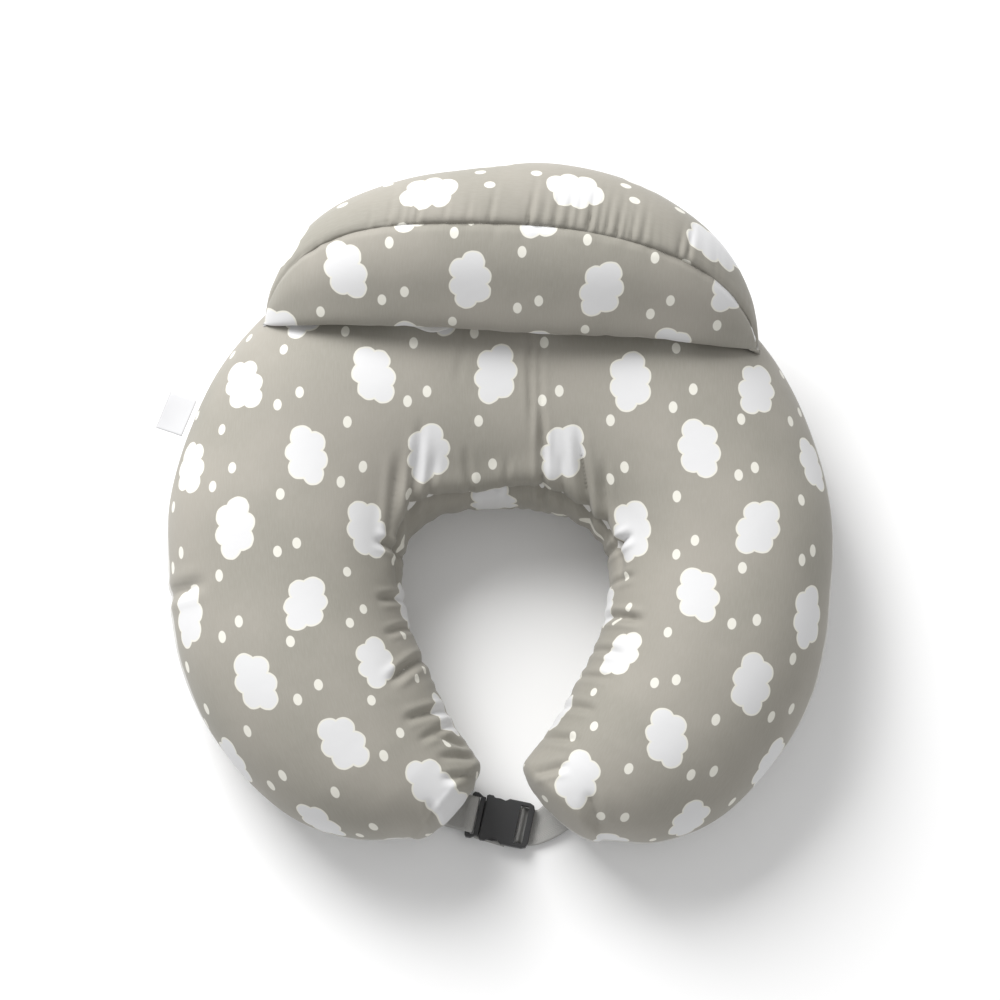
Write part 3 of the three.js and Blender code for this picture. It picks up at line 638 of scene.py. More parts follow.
# %% Head cushion sizes
HEAD_HALF_LENGTH = 202
HEAD_DEPTH = 137
HEAD_RISE = 57
HEAD_SAG = 30
HEAD_BACK_LIFT = 22
HEAD_YAW = math.radians(-3.4)
HEAD_PLACE = (9, 164)
HEAD_CLEARANCE = 2.0
FRONT_OVERHANG = 12
OVERHANG_SHARE = 0.035               # how far back the overhang is greatest, as a share of the depth
HEAD_SECTIONS = 300
FRONT_STEPS, GUSSET_STEPS, BACK_STEPS = 44, 30, 40

head_origin = np.array([*HEAD_PLACE, crown_height(*HEAD_PLACE)])
yaw_cos, yaw_sin = math.cos(HEAD_YAW), math.sin(HEAD_YAW)


def from_head(points):
    """The head cushion's own frame becomes the row frame."""
    x, y, z = np.moveaxis(np.asarray(points, float), -1, 0)
    turned = np.stack([x * yaw_cos - y * yaw_sin, x * yaw_sin + y * yaw_cos, z], axis=-1)
    return in_frame(turned + head_origin)


def crown_below(x, y):
    place = (x * yaw_cos - y * yaw_sin + head_origin[0], x * yaw_sin + y * yaw_cos + head_origin[1])
    return crown_height(*place) - head_origin[2]


def eased(first, last, count):
    """Steps that are finer towards both edges of the cushion."""
    angles = np.linspace(math.acos(1 - 2 * first), math.acos(1 - 2 * last), count + 1)
    return (1 - np.cos(angles)) / 2


shares = np.sin(np.linspace(-0.5, 0.5, HEAD_SECTIONS) * math.pi * 0.985)
plan = np.sqrt(1 - shares ** 2) * (1 - 0.09 * np.exp(-((shares + 0.3) / 0.45) ** 2))
head_x = shares * HEAD_HALF_LENGTH
crown_line = np.array([crown_below(x, 0) for x in head_x])
crease = np.polyval(np.polyfit(head_x / HEAD_HALF_LENGTH, crown_line, 8), shares) + HEAD_CLEARANCE
head_rise = HEAD_RISE * (1 - np.abs(shares) ** 2.6) ** 0.55


def head_grid(across, upper):
    """Points of the cushion's top or underside; across holds a row of steps for each section."""
    across = np.broadcast_to(across, (HEAD_SECTIONS, across.shape[-1]))
    bulge = np.sqrt(np.clip(1 - np.abs(2 * across - 1) ** 2.2, 0, None))
    y = across * HEAD_DEPTH * plan[:, None]
    line = crease[:, None] + HEAD_BACK_LIFT * plan[:, None] * across
    x = np.broadcast_to(head_x[:, None], across.shape)
    if upper:
        z = line + head_rise[:, None] * bulge
        overhang = across / OVERHANG_SHARE
        forward = FRONT_OVERHANG * plan[:, None] * overhang * np.exp(1 - overhang)
        return np.stack([x, y - forward, z], axis=-1)
    hanging = line - HEAD_SAG * plan[:, None] * bulge
    resting = np.array([[crown_below(a, b) for a, b in zip(xs, ys)] for xs, ys in zip(x, y)])
    return np.stack([x, y, np.minimum(np.maximum(hanging, resting + HEAD_CLEARANCE), line)], axis=-1)


print("head cushion seam height, mm:", round(float(head_origin[2]), 1))

# %% [markdown]
# ## Front, gusset and back of the head cushion
# The arched seam runs a little below the ridge, and both panels sink into it. The gusset is longer than
# the seam it is sewn to, so it is gathered: each gather is a sharp groove with a soft one beside it.

# %% Head cushion panels
GATHERS = [
    # place along the cushion, depth
    (-118, 0.8), (-103, 1.6), (-93, 1.4), (-86, 1.0), (-80, 2.4), (-58, 1.0), (-40, 0.8), (-22, 1.8),
    (9, 3.0), (20, 1.2), (30, 2.0), (40, 1.6), (47, 1.2), (57, 3.6), (64, 1.6), (71, 2.4), (80, 2.2),
    (86, 1.4), (91, 2.2), (100, 1.2), (130, 1.4), (137, 1.8),
]
seam_share = 0.53 - 0.07 * shares + 0.06 * shares ** 2
front_steps = np.array([eased(0.0, s, FRONT_STEPS) for s in seam_share])
gusset_steps = np.array([eased(s, 1.0, GUSSET_STEPS) for s in seam_share])


def reach_across(points):
    steps = np.linalg.norm(np.diff(points, axis=1), axis=2)
    return np.column_stack([np.zeros(len(points)), np.cumsum(steps, axis=1)])


def upward_normals(points):
    """Normals of an open grid, on the side that faces up and out."""
    normal = grid_normals(points)
    return normal if normal[len(points) // 2, points.shape[1] // 2, 2] > 0 else -normal


def pull_seam(points, from_seam, depth, width, seed):
    """The seam sinks into a valley, a little unevenly."""
    normal = upward_normals(points)
    uneven = 1 + 0.35 * ripples(points[:, :1, 0], seed, 9, 4, 1.0)
    valley = depth * np.exp(-(from_seam / width) ** 2) * uneven
    return points - normal * valley[..., None]


front = head_grid(front_steps, True)
front_reach = reach_across(front)
front_uv = np.stack([front[..., 0] + 30, front_reach - 64], axis=-1) * MM
front = front + upward_normals(front) * lumps(front, 21, 130, 1.6)[..., None]
near_seam = np.abs(front_reach - front_reach[:, -1:])
front_small = ripples(front[..., :1, 0], 31, 17, 5.0, 0.9) * np.exp(-(near_seam / 12) ** 2)
front = pull_seam(front, near_seam, 2.2, 3.2, 41) + upward_normals(front) * front_small[..., None]
crease_folds = ripples(front[..., :1, 0], 33, 22, 6.0, 2.2) * np.exp(-(front_reach / 20) ** 2)
front = front + upward_normals(front) * crease_folds[..., None]

gusset = head_grid(gusset_steps, True)
gusset_reach = reach_across(gusset)
gusset_uv = np.stack([-gusset_reach - 22, gusset[..., 0] * 1.06 + 14], axis=-1) * MM
gusset = gusset + upward_normals(gusset) * lumps(gusset, 23, 110, 1.4)[..., None]
gathered = np.zeros(gusset.shape[:2])
for place, depth in GATHERS:
    lean = gusset[..., 0] - place - 0.12 * gusset_reach
    gathered -= 1.8 * depth * np.exp(-np.abs(lean) / 1.4) - 0.5 * depth * np.exp(-((lean - 4.0) / 2.4) ** 2)
gathered += ripples(gusset[..., 0], 35, 6, 1.8, 0.7)
gusset_normal = upward_normals(gusset)
gusset = gusset + gusset_normal * (gathered * np.exp(-(gusset_reach / 22) ** 1.6))[..., None]
gusset = pull_seam(gusset, gusset_reach, 2.2, 3.2, 41)
gusset[:, 0] = front[:, -1]

back = head_grid(eased(0.0, 1.0, BACK_STEPS), False)
back[:, 0] = front[:, 0]
back[:, -1] = gusset[:, -1]

head_front = mesh_object("head_cushion_front", from_head(front), grid_faces(*front.shape[:2]), front_uv)
head_gusset = mesh_object("head_cushion_gusset", from_head(gusset), grid_faces(*gusset.shape[:2]), gusset_uv)
head_back = mesh_object("head_cushion_back", from_head(back), grid_faces(*back.shape[:2]), back[..., :2] * MM)
print("gathers:", len(GATHERS), "gusset points:", gusset.shape[:2])

# %% [markdown]
# ## Filling of the head cushion
# The fibre is the same cushion with its ends left out, six millimetres thinner on each side.

# %% Head cushion filling
fill_steps = eased(0.05, 0.95, 18)
ring_top, ring_under = (head_grid(fill_steps, upper)[12:-12:8] for upper in (True, False))
middle = (ring_top + ring_under) / 2
thick = np.maximum((ring_top[..., 2:3] - ring_under[..., 2:3]) / 2 - 6, 0.5)
ring_top = middle + thick * [0, 0, 1]
ring_under = middle - thick * [0, 0, 1]
fill_rings = np.concatenate([ring_top, ring_under[:, ::-1]], axis=1)
head_fibre = closed_body("head_cushion_fibre", from_head(fill_rings))
print("head cushion top, mm:", round(float(from_head(gusset)[..., 2].max() / MM), 1))

# %% [markdown]
# ## The seam tape
# A narrow white twill tape backs the seam that holds the head cushion. It lies under the cushion's front
# edge, and it shows only as a thin pale line in a short part of the crease.

# %% Seam tape
TAPE_WIDTH = 7


def ribbon_mesh(name, path, wide, normal, thickness, steps_across=6):
    """A flat band along a path; wide holds the vector across it at each point, in the path's units."""
    shares_across = np.linspace(-0.5, 0.5, steps_across + 1)
    edge = 1 - 0.35 * np.abs(2 * shares_across) ** 6
    face = path[:, None, :] + wide[:, None, :] * shares_across[None, :, None]
    lift = normal[:, None, :] * (thickness / 2 * edge)[None, :, None]
    ring = np.concatenate([face + lift, (face - lift)[:, ::-1]], axis=1)
    rows, columns = ring.shape[:2]
    along = length_along(path)
    width = float(np.linalg.norm(wide[0]))
    u = np.concatenate([shares_across, shares_across[::-1]]) * width
    uv = np.stack(np.broadcast_arrays(u[None, :], along[:, None]), axis=-1)
    faces = [tuple(quad) for quad in grid_faces(rows, columns, round_rows=True)]
    faces.append(tuple(range(columns)))
    faces.append(tuple((rows - 1) * columns + k for k in reversed(range(columns))))
    return mesh_object(name, ring.reshape(-1, 3), faces, uv.reshape(-1, 2))


inside = slice(16, -16)
tape_y = 2.8 - 6.8 * np.exp(-((head_x[inside] + 64) / 15) ** 2)
tape_path = np.array([[x, y, crown_below(x, y) + 0.9] for x, y in zip(head_x[inside], tape_y)])
tape_wide = np.tile([0.0, TAPE_WIDTH, 0.0], (len(tape_path), 1))
tape_up = np.tile([0.0, 0.0, 1.0], (len(tape_path), 1))
seam_tape = ribbon_mesh("head_seam_twill_tape", from_head(tape_path), tape_wide * MM, tape_up, 0.6 * MM, 4)
print("twill tape, mm:", round(float(length_along(tape_path)[-1])))

# %% [markdown]
# ## The waist strap
# Both ends of the strap are flat 30 mm webbing that comes out from under the arm tips. The left end goes
# round the plug's bar and leaves a loose tail beneath the buckle; the right end is sewn round the
# socket's bar. Their routes are short lists of points in the buckle's own frame.

# %% Strap routes
WEB_WIDTH = 30
WEB_THICKNESS = 1.5
TAIL_THICKNESS = 1.2
BUCKLE_YAW = math.radians(-12)
BUCKLE_PLACE = np.array([0, -221, 7.8])


def from_buckle(x, y, z, turn):
    """A place and a compass turn in the buckle's frame, about the pillow's centre."""
    cosine, sine = math.cos(BUCKLE_YAW), math.sin(BUCKLE_YAW)
    place = BUCKLE_PLACE + [x * cosine - y * sine, x * sine + y * cosine, z]
    return [*place, turn + math.degrees(BUCKLE_YAW)]


def strap(name, route, width, thickness, count):
    """Flat webbing along a route whose points give x, y, z and the compass turn of its width."""
    at = np.linspace(0, 1, count)
    route = np.array(route, float)
    path = smooth(route[:, :3], at)
    turn = np.radians(np.interp(at, np.linspace(0, 1, len(route)), route[:, 3]))
    wide = np.column_stack([np.cos(turn), np.sin(turn), np.zeros(count)])
    tangent = np.gradient(path, axis=0)
    normal = np.cross(wide, tangent)
    normal /= np.linalg.norm(normal, axis=1, keepdims=True)
    normal *= np.sign(normal[:, 2].mean())
    return ribbon_mesh(name, in_frame(path), wide * width * MM, normal, thickness * MM, 12)


# %% [markdown]
# ## The three lengths of webbing
# The left length rises through the plug's slot and folds over its outer bar. The right one dives through
# the socket's slot. Where they leave the buckle they twist a little, so as to run under the arm tips.

# %% Straps
LEVEL = -3.7                         # height of the webbing beside the buckle
left_strap = strap("left_strap", [
    from_buckle(-20.75, 0, -2.6, 90), from_buckle(-20.75, 0, 2.2, 90), from_buckle(-21.6, 0, 5, 90),
    from_buckle(-24.2, 0, 5.7, 90), from_buckle(-27.2, 0.2, 4.6, 90), from_buckle(-30.6, 0.5, 0.8, 89),
    from_buckle(-38, 1, -2.2, 84), [-47, -209, 5.8, 68], [-57, -205, 7.6, 56],
], WEB_WIDTH, WEB_THICKNESS, 60)
right_strap = strap("right_strap", [
    from_buckle(15.6, 0, 2.6, 90), from_buckle(17.8, 0, 0.4, 90), from_buckle(19.9, 0, -2.8, 90),
    from_buckle(22.6, 0, LEVEL, 90),
    from_buckle(29, 0.5, LEVEL, 92), [40, -221.5, 4.8, 100], [50, -214.5, 6.2, 116], [60, -207, 8.0, 127],
], WEB_WIDTH, WEB_THICKNESS, 72)
strap_end = strap("strap_loose_tail", [
    from_buckle(-17, -3, -6.8, 84), from_buckle(-4, -4, -6.8, 84), from_buckle(9, -5, -6.8, 84),
], WEB_WIDTH, TAIL_THICKNESS, 24)
print("webbing faces:", [len(length.data.polygons) for length in (left_strap, right_strap, strap_end)])

# %% [markdown]
# ## Moulded and cast pieces
# The buckle and the zip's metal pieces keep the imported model's shape. A merged copy of each mesh gets
# its flat faces back with a limited dissolve, and then a small bevel, because no moulded edge is sharp.

# %% Rounded copies
def rounded_copy(node, name, radius):
    """A merged copy of a CAD node with rounded edges."""
    thing = bpy.data.objects.new(name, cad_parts[node].data.copy())
    bpy.context.scene.collection.objects.link(thing)
    thing.data.materials.clear()
    mesh = bmesh.new()
    mesh.from_mesh(thing.data)
    bmesh.ops.remove_doubles(mesh, verts=mesh.verts, dist=0.00002)
    bmesh.ops.dissolve_limit(mesh, angle_limit=math.radians(3), verts=mesh.verts, edges=mesh.edges)
    mesh.to_mesh(thing.data)
    mesh.free()
    thing.data.shade_smooth()
    add_modifier(thing, "BEVEL", width=radius * MM, segments=2, limit_method="ANGLE",
                 angle_limit=math.radians(28), harden_normals=False, use_clamp_overlap=True)
    add_modifier(thing, "WEIGHTED_NORMAL", weight=80, keep_sharp=True)
    return thing


socket_body = rounded_copy("buckle_socket", "moulded_socket", 0.35)
plug_body = rounded_copy("buckle_plug", "moulded_plug", 0.3)
rear_latch = rounded_copy("latch_arm_rear", "rear_latch", 0.3)
front_latch = rounded_copy("latch_arm_front", "front_latch", 0.3)
slider_body = rounded_copy("zip_slider", "cast_zip_slider", 0.2)
pull_tab = rounded_copy("zip_pull", "cast_zip_pull", 0.22)
closed_stop = rounded_copy("zip_stop_closed", "zip_end_clamp", 0.15)
open_stop = rounded_copy("zip_stop_open", "zip_start_clamp", 0.15)
print("corners of the socket before its bevel:", len(socket_body.data.vertices))

# %% [markdown]
# ## A zip from Geometry Nodes
# The coil is one small tooth repeated along an arc, and the tape's stitching is one thread repeated in
# the same way. A single node tree does both: it resamples a path at a pitch, puts a rounded bar on every
# point, turns it along the path, and ends in real mesh with its material.

# %% Path-of-bars node tree
def bars_along_path():
    tree = bpy.data.node_groups.new("bars along a path", "GeometryNodeTree")
    face = tree.interface
    face.new_socket("Path", in_out="INPUT", socket_type="NodeSocketGeometry")
    for label in ("Pitch", "Length", "Width", "Height"):
        face.new_socket(label, in_out="INPUT", socket_type="NodeSocketFloat")
    face.new_socket("Finish", in_out="INPUT", socket_type="NodeSocketMaterial")
    face.new_socket("Bars", in_out="OUTPUT", socket_type="NodeSocketGeometry")
    node = tree.nodes.new
    link = tree.links.new
    given, result = node("NodeGroupInput"), node("NodeGroupOutput")
    curve, points = node("GeometryNodeMeshToCurve"), node("GeometryNodeResampleCurve")
    points.mode = "LENGTH"
    bar, sized = node("GeometryNodeMeshIcoSphere"), node("GeometryNodeTransform")
    size = node("ShaderNodeCombineXYZ")
    bar.inputs["Radius"].default_value = 0.5
    bar.inputs["Subdivisions"].default_value = 2
    tangent, turn = node("GeometryNodeInputTangent"), node("FunctionNodeAlignRotationToVector")
    turn.axis = "X"
    place, real = node("GeometryNodeInstanceOnPoints"), node("GeometryNodeRealizeInstances")
    finish, smooth_faces = node("GeometryNodeSetMaterial"), node("GeometryNodeSetShadeSmooth")
    for axis, label in zip("XYZ", ("Length", "Width", "Height")):
        link(given.outputs[label], size.inputs[axis])
    for start, output, end, entry in (
            (given, "Path", curve, "Mesh"), (curve, "Curve", points, "Curve"),
            (given, "Pitch", points, "Length"), (bar, "Mesh", sized, "Geometry"),
            (size, "Vector", sized, "Scale"), (tangent, "Tangent", turn, "Vector"),
            (points, "Curve", place, "Points"), (sized, "Geometry", place, "Instance"),
            (turn, "Rotation", place, "Rotation"), (place, "Instances", real, "Geometry"),
            (real, "Geometry", smooth_faces, "Geometry"), (smooth_faces, "Geometry", finish, "Geometry"),
            (given, "Finish", finish, "Material"), (finish, "Geometry", result, "Bars")):
        link(start.outputs[output], end.inputs[entry])
    return tree


bars_tree = bars_along_path()
print("nodes in the tree:", len(bars_tree.nodes))


# %% [markdown]
# ## Using the node tree
# The tree is a modifier on a path of plain edges. Each input is set by its own identifier, the result is
# taken as a plain mesh, and the path is thrown away.

# %% Bars along one path
def bars(name, path, pitch, size, finish):
    """Small rounded bars along a path in metres; size is along, across and up, in millimetres."""
    line = bpy.data.meshes.new(name)
    line.from_pydata([tuple(p) for p in path], [(k, k + 1) for k in range(len(path) - 1)], [])
    maker = bpy.data.objects.new(name + "_path", line)
    bpy.context.scene.collection.objects.link(maker)
    modifier = maker.modifiers.new("Bars", "NODES")
    modifier.node_group = bars_tree
    values = {"Pitch": pitch * MM, "Finish": finish}
    values.update({label: value * MM for label, value in zip(("Length", "Width", "Height"), size)})
    for item in bars_tree.interface.items_tree:
        if item.item_type == "SOCKET" and item.in_out == "INPUT" and item.name in values:
            modifier[item.identifier] = values[item.name]
    bpy.context.view_layer.update()
    made = maker.evaluated_get(bpy.context.evaluated_depsgraph_get())
    mesh = bpy.data.meshes.new_from_object(made)
    bpy.data.objects.remove(maker)
    thing = bpy.data.objects.new(name, mesh)
    bpy.context.scene.collection.objects.link(thing)
    print(name, "faces:", len(mesh.polygons))
    return thing


# %% [markdown]
# ## Materials by nodes
# A small helper keeps the node trees short: it adds a node, feeds its sockets with numbers or links, and
# does arithmetic. Colours are linear. The cloth patterns read the panels' own flat coordinates.

# %% Node helper
class Finish:
    """One material with its node tree and a Principled shader."""

    def __init__(self, name, colour, roughness, **shader):
        self.material = bpy.data.materials.new(name)
        self.material.use_nodes = True
        self.tree = self.material.node_tree
        self.shader = self.tree.nodes["Principled BSDF"]
        self.shader.inputs["Base Color"].default_value = (*colour, 1)
        self.shader.inputs["Roughness"].default_value = roughness
        for key, value in shader.items():
            self.shader.inputs[key.replace("_", " ")].default_value = value

    def feed(self, socket, value):
        if isinstance(value, bpy.types.NodeSocket):
            self.tree.links.new(value, socket)
        else:
            socket.default_value = value

    def add(self, kind, inputs=None, **settings):
        node = self.tree.nodes.new(kind)
        for key, value in settings.items():
            setattr(node, key, value)
        for key, value in (inputs or {}).items():
            self.feed(node.inputs[key], value)
        return node

    def math(self, operation, *values):
        return self.add("ShaderNodeMath", dict(enumerate(values)), operation=operation).outputs[0]

    def vector(self, operation, *values, output=0):
        return self.add("ShaderNodeVectorMath", dict(enumerate(values)), operation=operation).outputs[output]

    def cloth(self):
        return self.add("ShaderNodeUVMap", uv_map="cloth").outputs["UV"]

    def place(self):
        return self.add("ShaderNodeTexCoord").outputs["Object"]

    def noise(self, vector, scale, detail=2.0, output="Fac"):
        inputs = {"Vector": vector, "Scale": scale, "Detail": detail}
        return self.add("ShaderNodeTexNoise", inputs).outputs[output]

    def weave(self, scale, direction, distortion=0.0):
        """Fine parallel threads on the cloth's own coordinates."""
        inputs = {"Vector": self.cloth(), "Scale": scale, "Distortion": distortion}
        return self.add("ShaderNodeTexWave", inputs, bands_direction=direction).outputs["Fac"]

    def band(self, value, low, high):
        """A soft step from 0 at low to 1 at high."""
        return self.add("ShaderNodeMapRange", {"Value": value, "From Min": low, "From Max": high},
                        interpolation_type="SMOOTHSTEP").outputs["Result"]

    def mix(self, share, first, second):
        node = self.add("ShaderNodeMix", {"Factor": share}, data_type="RGBA")
        for key, value in ((6, first), (7, second)):
            self.feed(node.inputs[key], value if isinstance(value, bpy.types.NodeSocket) else (*value, 1))
        return node.outputs[2]

    def bump(self, height, distance, strength=1.0, before=None):
        inputs = {"Height": height, "Distance": distance, "Strength": strength}
        if before:
            inputs["Normal"] = before
        return self.add("ShaderNodeBump", inputs).outputs["Normal"]

    def set(self, **links):
        for key, value in links.items():
            self.feed(self.shader.inputs[key.replace("_", " ")], value)
        return self.material


# %% [markdown]
# ## The cloud print
# The print repeats on a staggered grid: a cloud of seven round lobes, and three small drops beside it.
# Each lobe is a distance to a centre less a radius, and the smallest of them draws the whole cloud. A
# random number for each cell shifts, turns and mirrors its cloud, so the repeat doesn't look stamped.

# %% Cloud print
PRINT_PERIOD = (106 * MM, 123 * MM)
CLOUD_LOBES = [                      # x, y and radius
    (0, 1, 13), (-4.6, 14.6, 9.8), (6, 10.8, 9.2), (-8.8, 2.4, 8.6), (9.2, -3, 9), (-4.4, -9.8, 9.8),
    (6.6, -14.6, 9),
]
DROPS = [(-4, 51), (36, 27), (33, -21)]
DROP_RADIUS = 3.5
EDGE_WOBBLE = 1.6                    # how far the printed edges wander
GROUND_LIGHT, GROUND_DARK = (0.322, 0.302, 0.264), (0.276, 0.263, 0.226)
CLOUD_WHITE, RIM_CREAM = (0.66, 0.66, 0.665), (0.70, 0.685, 0.62)


def random_of_cell(finish, cell, seed):
    moved = finish.vector("ADD", cell, (seed, seed * 1.7, 0.5))
    return finish.add("ShaderNodeTexWhiteNoise", {"Vector": moved}, noise_dimensions="3D").outputs["Color"]


def print_layer(finish, cloth, offset, seed):
    """Signed distance, in metres, to the clouds and to the drops of one of the two staggered grids."""
    moved = finish.vector("ADD", cloth, (*offset, 0))
    scaled = finish.vector("DIVIDE", moved, (*PRINT_PERIOD, 1))
    cell = finish.vector("FLOOR", scaled)
    chance = random_of_cell(finish, cell, seed)
    centred = finish.vector("SUBTRACT", finish.vector("SUBTRACT", scaled, cell), (0.5, 0.5, 0))
    local = finish.vector("MULTIPLY", centred, (*PRINT_PERIOD, 0))
    centred_chance = finish.vector("SUBTRACT", chance, (0.5, 0.5, 0))
    cloud = finish.vector("SUBTRACT", local, finish.vector("MULTIPLY", centred_chance, (11 * MM, 10 * MM, 0)))
    parts = finish.add("ShaderNodeSeparateXYZ", {"Vector": chance}).outputs
    angle = finish.math("MULTIPLY_ADD", parts["Z"], 0.5, -0.25)
    cloud = finish.add("ShaderNodeVectorRotate", {"Vector": cloud, "Angle": angle},
                       rotation_type="Z_AXIS").outputs[0]
    side = finish.math("MULTIPLY_ADD", finish.math("GREATER_THAN", parts["X"], 0.5), 2, -1)
    flip = finish.add("ShaderNodeCombineXYZ", {"X": side, "Y": 1.0, "Z": 0.0}).outputs[0]
    cloud = finish.vector("MULTIPLY", cloud, flip)
    wobble = finish.vector("SUBTRACT", finish.noise(cloth, 110.0, 1.0, "Color"), (0.5, 0.5, 0.5))
    cloud = finish.vector("ADD", cloud, finish.vector("MULTIPLY", wobble, (EDGE_WOBBLE * MM,) * 3))
    cloud = finish.vector("MULTIPLY", cloud, (1, 1, 0))
    nearest = None
    for x, y, radius in CLOUD_LOBES:
        away = finish.vector("DISTANCE", cloud, (x * MM, y * MM, 0), output="Value")
        away = finish.math("SUBTRACT", away, radius * MM)
        nearest = away if nearest is None else finish.math("SMOOTH_MIN", nearest, away, 0.0005)
    drop = None
    for number, (x, y) in enumerate(DROPS):
        shift = finish.vector("MULTIPLY", centred_chance, ((6 - 5 * number) * MM, (4 + 3 * number) * MM, 0))
        spot = finish.vector("SUBTRACT", finish.vector("SUBTRACT", local, shift), (x * MM, y * MM, 0))
        spot = finish.vector("MULTIPLY", spot, (1.0, 0.74, 0))
        away = finish.math("SUBTRACT", finish.vector("LENGTH", spot, output="Value"), DROP_RADIUS * MM)
        drop = away if drop is None else finish.math("MINIMUM", drop, away)
    return nearest, drop


# %% [markdown]
# ## The printed cotton
# Ink sits on the thread, so the print changes only the colour, and one weave runs under all of it. Each
# cloud has a cream rim, the drops are cream, and the grey ground is a little uneven, as dyed cotton is.

# %% Printed cotton
def cotton_print():
    finish = Finish("printed cotton", GROUND_LIGHT, 0.78, Sheen_Weight=0.12, Sheen_Roughness=0.45)
    cloth = finish.cloth()
    layers = [print_layer(finish, cloth, (0, 0), 1.3),
              print_layer(finish, cloth, (PRINT_PERIOD[0] / 2, PRINT_PERIOD[1] / 2), 4.1)]
    cloud = finish.math("MINIMUM", layers[0][0], layers[1][0])
    drop = finish.math("MINIMUM", layers[0][1], layers[1][1])
    tone = finish.noise(cloth, 9.0, 3.0)
    slub = finish.noise(finish.vector("MULTIPLY", cloth, (1.0, 0.12, 1.0)), 900.0, 2.0)
    ground = finish.mix(finish.band(tone, 0.3, 0.7), GROUND_DARK, GROUND_LIGHT)
    slub = finish.math("MULTIPLY", finish.band(slub, 0.35, 0.7), 0.12)
    ground = finish.mix(slub, ground, (0.40, 0.385, 0.35))
    white = finish.mix(finish.band(cloud, -1.8 * MM, -1.0 * MM), CLOUD_WHITE, RIM_CREAM)
    inked = finish.math("MAXIMUM", *(finish.band(shape, 0.25 * MM, -0.25 * MM) for shape in (cloud, drop)))
    white = finish.mix(finish.band(drop, 0.6 * MM, -0.1 * MM), white, RIM_CREAM)
    colour = finish.mix(inked, ground, white)
    normal = finish.bump(finish.weave(420.0, "DIAGONAL", 1.5), 0.06 * MM, 0.35)
    normal = finish.bump(finish.noise(cloth, 55.0, 3.0), 0.8 * MM, 0.35, normal)
    return finish.set(Base_Color=colour, Normal=normal)


printed_cotton = cotton_print()
print("nodes in the print:", len(printed_cotton.node_tree.nodes))

# %% [markdown]
# ## The other cloths
# The underside is a short brushed plush, so it has a fine uneven pile and a soft sheen. Webbing and zip
# tape are ribbed across, with a flat selvedge on both edges.

# %% Plain cloths
def plush():
    finish = Finish("underside plush", (0.54, 0.53, 0.50), 0.95, Sheen_Weight=0.35, Sheen_Roughness=0.6)
    place = finish.place()
    pile = finish.noise(place, 1400.0, 3.0)
    nap = finish.noise(place, 60.0, 4.0)
    colour = finish.mix(finish.band(nap, 0.3, 0.75), (0.49, 0.48, 0.455), (0.58, 0.57, 0.545))
    normal = finish.bump(nap, 1.2 * MM, 0.3, finish.bump(pile, 0.5 * MM, 0.8))
    return finish.set(Base_Color=colour, Normal=normal)


def plain_cotton():
    finish = Finish("inner cotton", (0.88, 0.87, 0.84), 0.9)
    normal = finish.bump(finish.weave(300.0, "X"), 0.1 * MM, 0.5)
    colour = finish.mix(finish.noise(finish.cloth(), 40.0), (0.66, 0.65, 0.63), (0.74, 0.73, 0.71))
    return finish.set(Base_Color=colour, Normal=normal)


def fibre():
    finish = Finish("polyester fibre", (0.93, 0.93, 0.93), 1.0)
    place = finish.place()
    strands = finish.noise(finish.vector("MULTIPLY", place, (1, 3, 1)), 220.0, 5.0)
    colour = finish.mix(strands, (0.85, 0.85, 0.86), (0.96, 0.96, 0.96))
    return finish.set(Base_Color=colour, Normal=finish.bump(strands, 2.0 * MM, 0.7))


def ribbed_webbing(name, width, light, dark, pitch):
    """Webbing with ribs across it, a chevron along its middle and plain selvedges."""
    finish = Finish(name, light, 0.72, Sheen_Weight=0.25, Sheen_Roughness=0.5)
    parts = finish.add("ShaderNodeSeparateXYZ", {"Vector": finish.cloth()}).outputs
    across = finish.math("ABSOLUTE", parts["X"])
    chevron = finish.math("PINGPONG", parts["X"], width * MM / 6)
    along = finish.math("ADD", parts["Y"], finish.math("MULTIPLY", chevron, 0.8))
    rib = finish.math("SINE", finish.math("MULTIPLY", along, 2 * math.pi / (pitch * MM)))
    warp = finish.math("SINE", finish.math("MULTIPLY", parts["X"], 2 * math.pi / (0.9 * MM)))
    woven = finish.math("MULTIPLY_ADD", rib, 0.35, finish.math("MULTIPLY_ADD", warp, 0.15, 0.5))
    selvedge = finish.band(across, (width / 2 - 2.2) * MM, (width / 2 - 1.6) * MM)
    height = finish.math("MULTIPLY", woven, finish.math("MULTIPLY_ADD", selvedge, -0.6, 1.0))
    colour = finish.mix(woven, dark, light)
    return finish.set(Base_Color=colour, Normal=finish.bump(height, 0.35 * MM, 0.9))


underside_plush = plush()
inner_cotton = plain_cotton()
white_fibre = fibre()
grey_webbing = ribbed_webbing("grey webbing", WEB_WIDTH, (0.44, 0.435, 0.42), (0.36, 0.355, 0.34), 1.6)
zip_tape_cloth = ribbed_webbing("zip tape cloth", 9, (0.50, 0.485, 0.45), (0.38, 0.365, 0.34), 0.9)
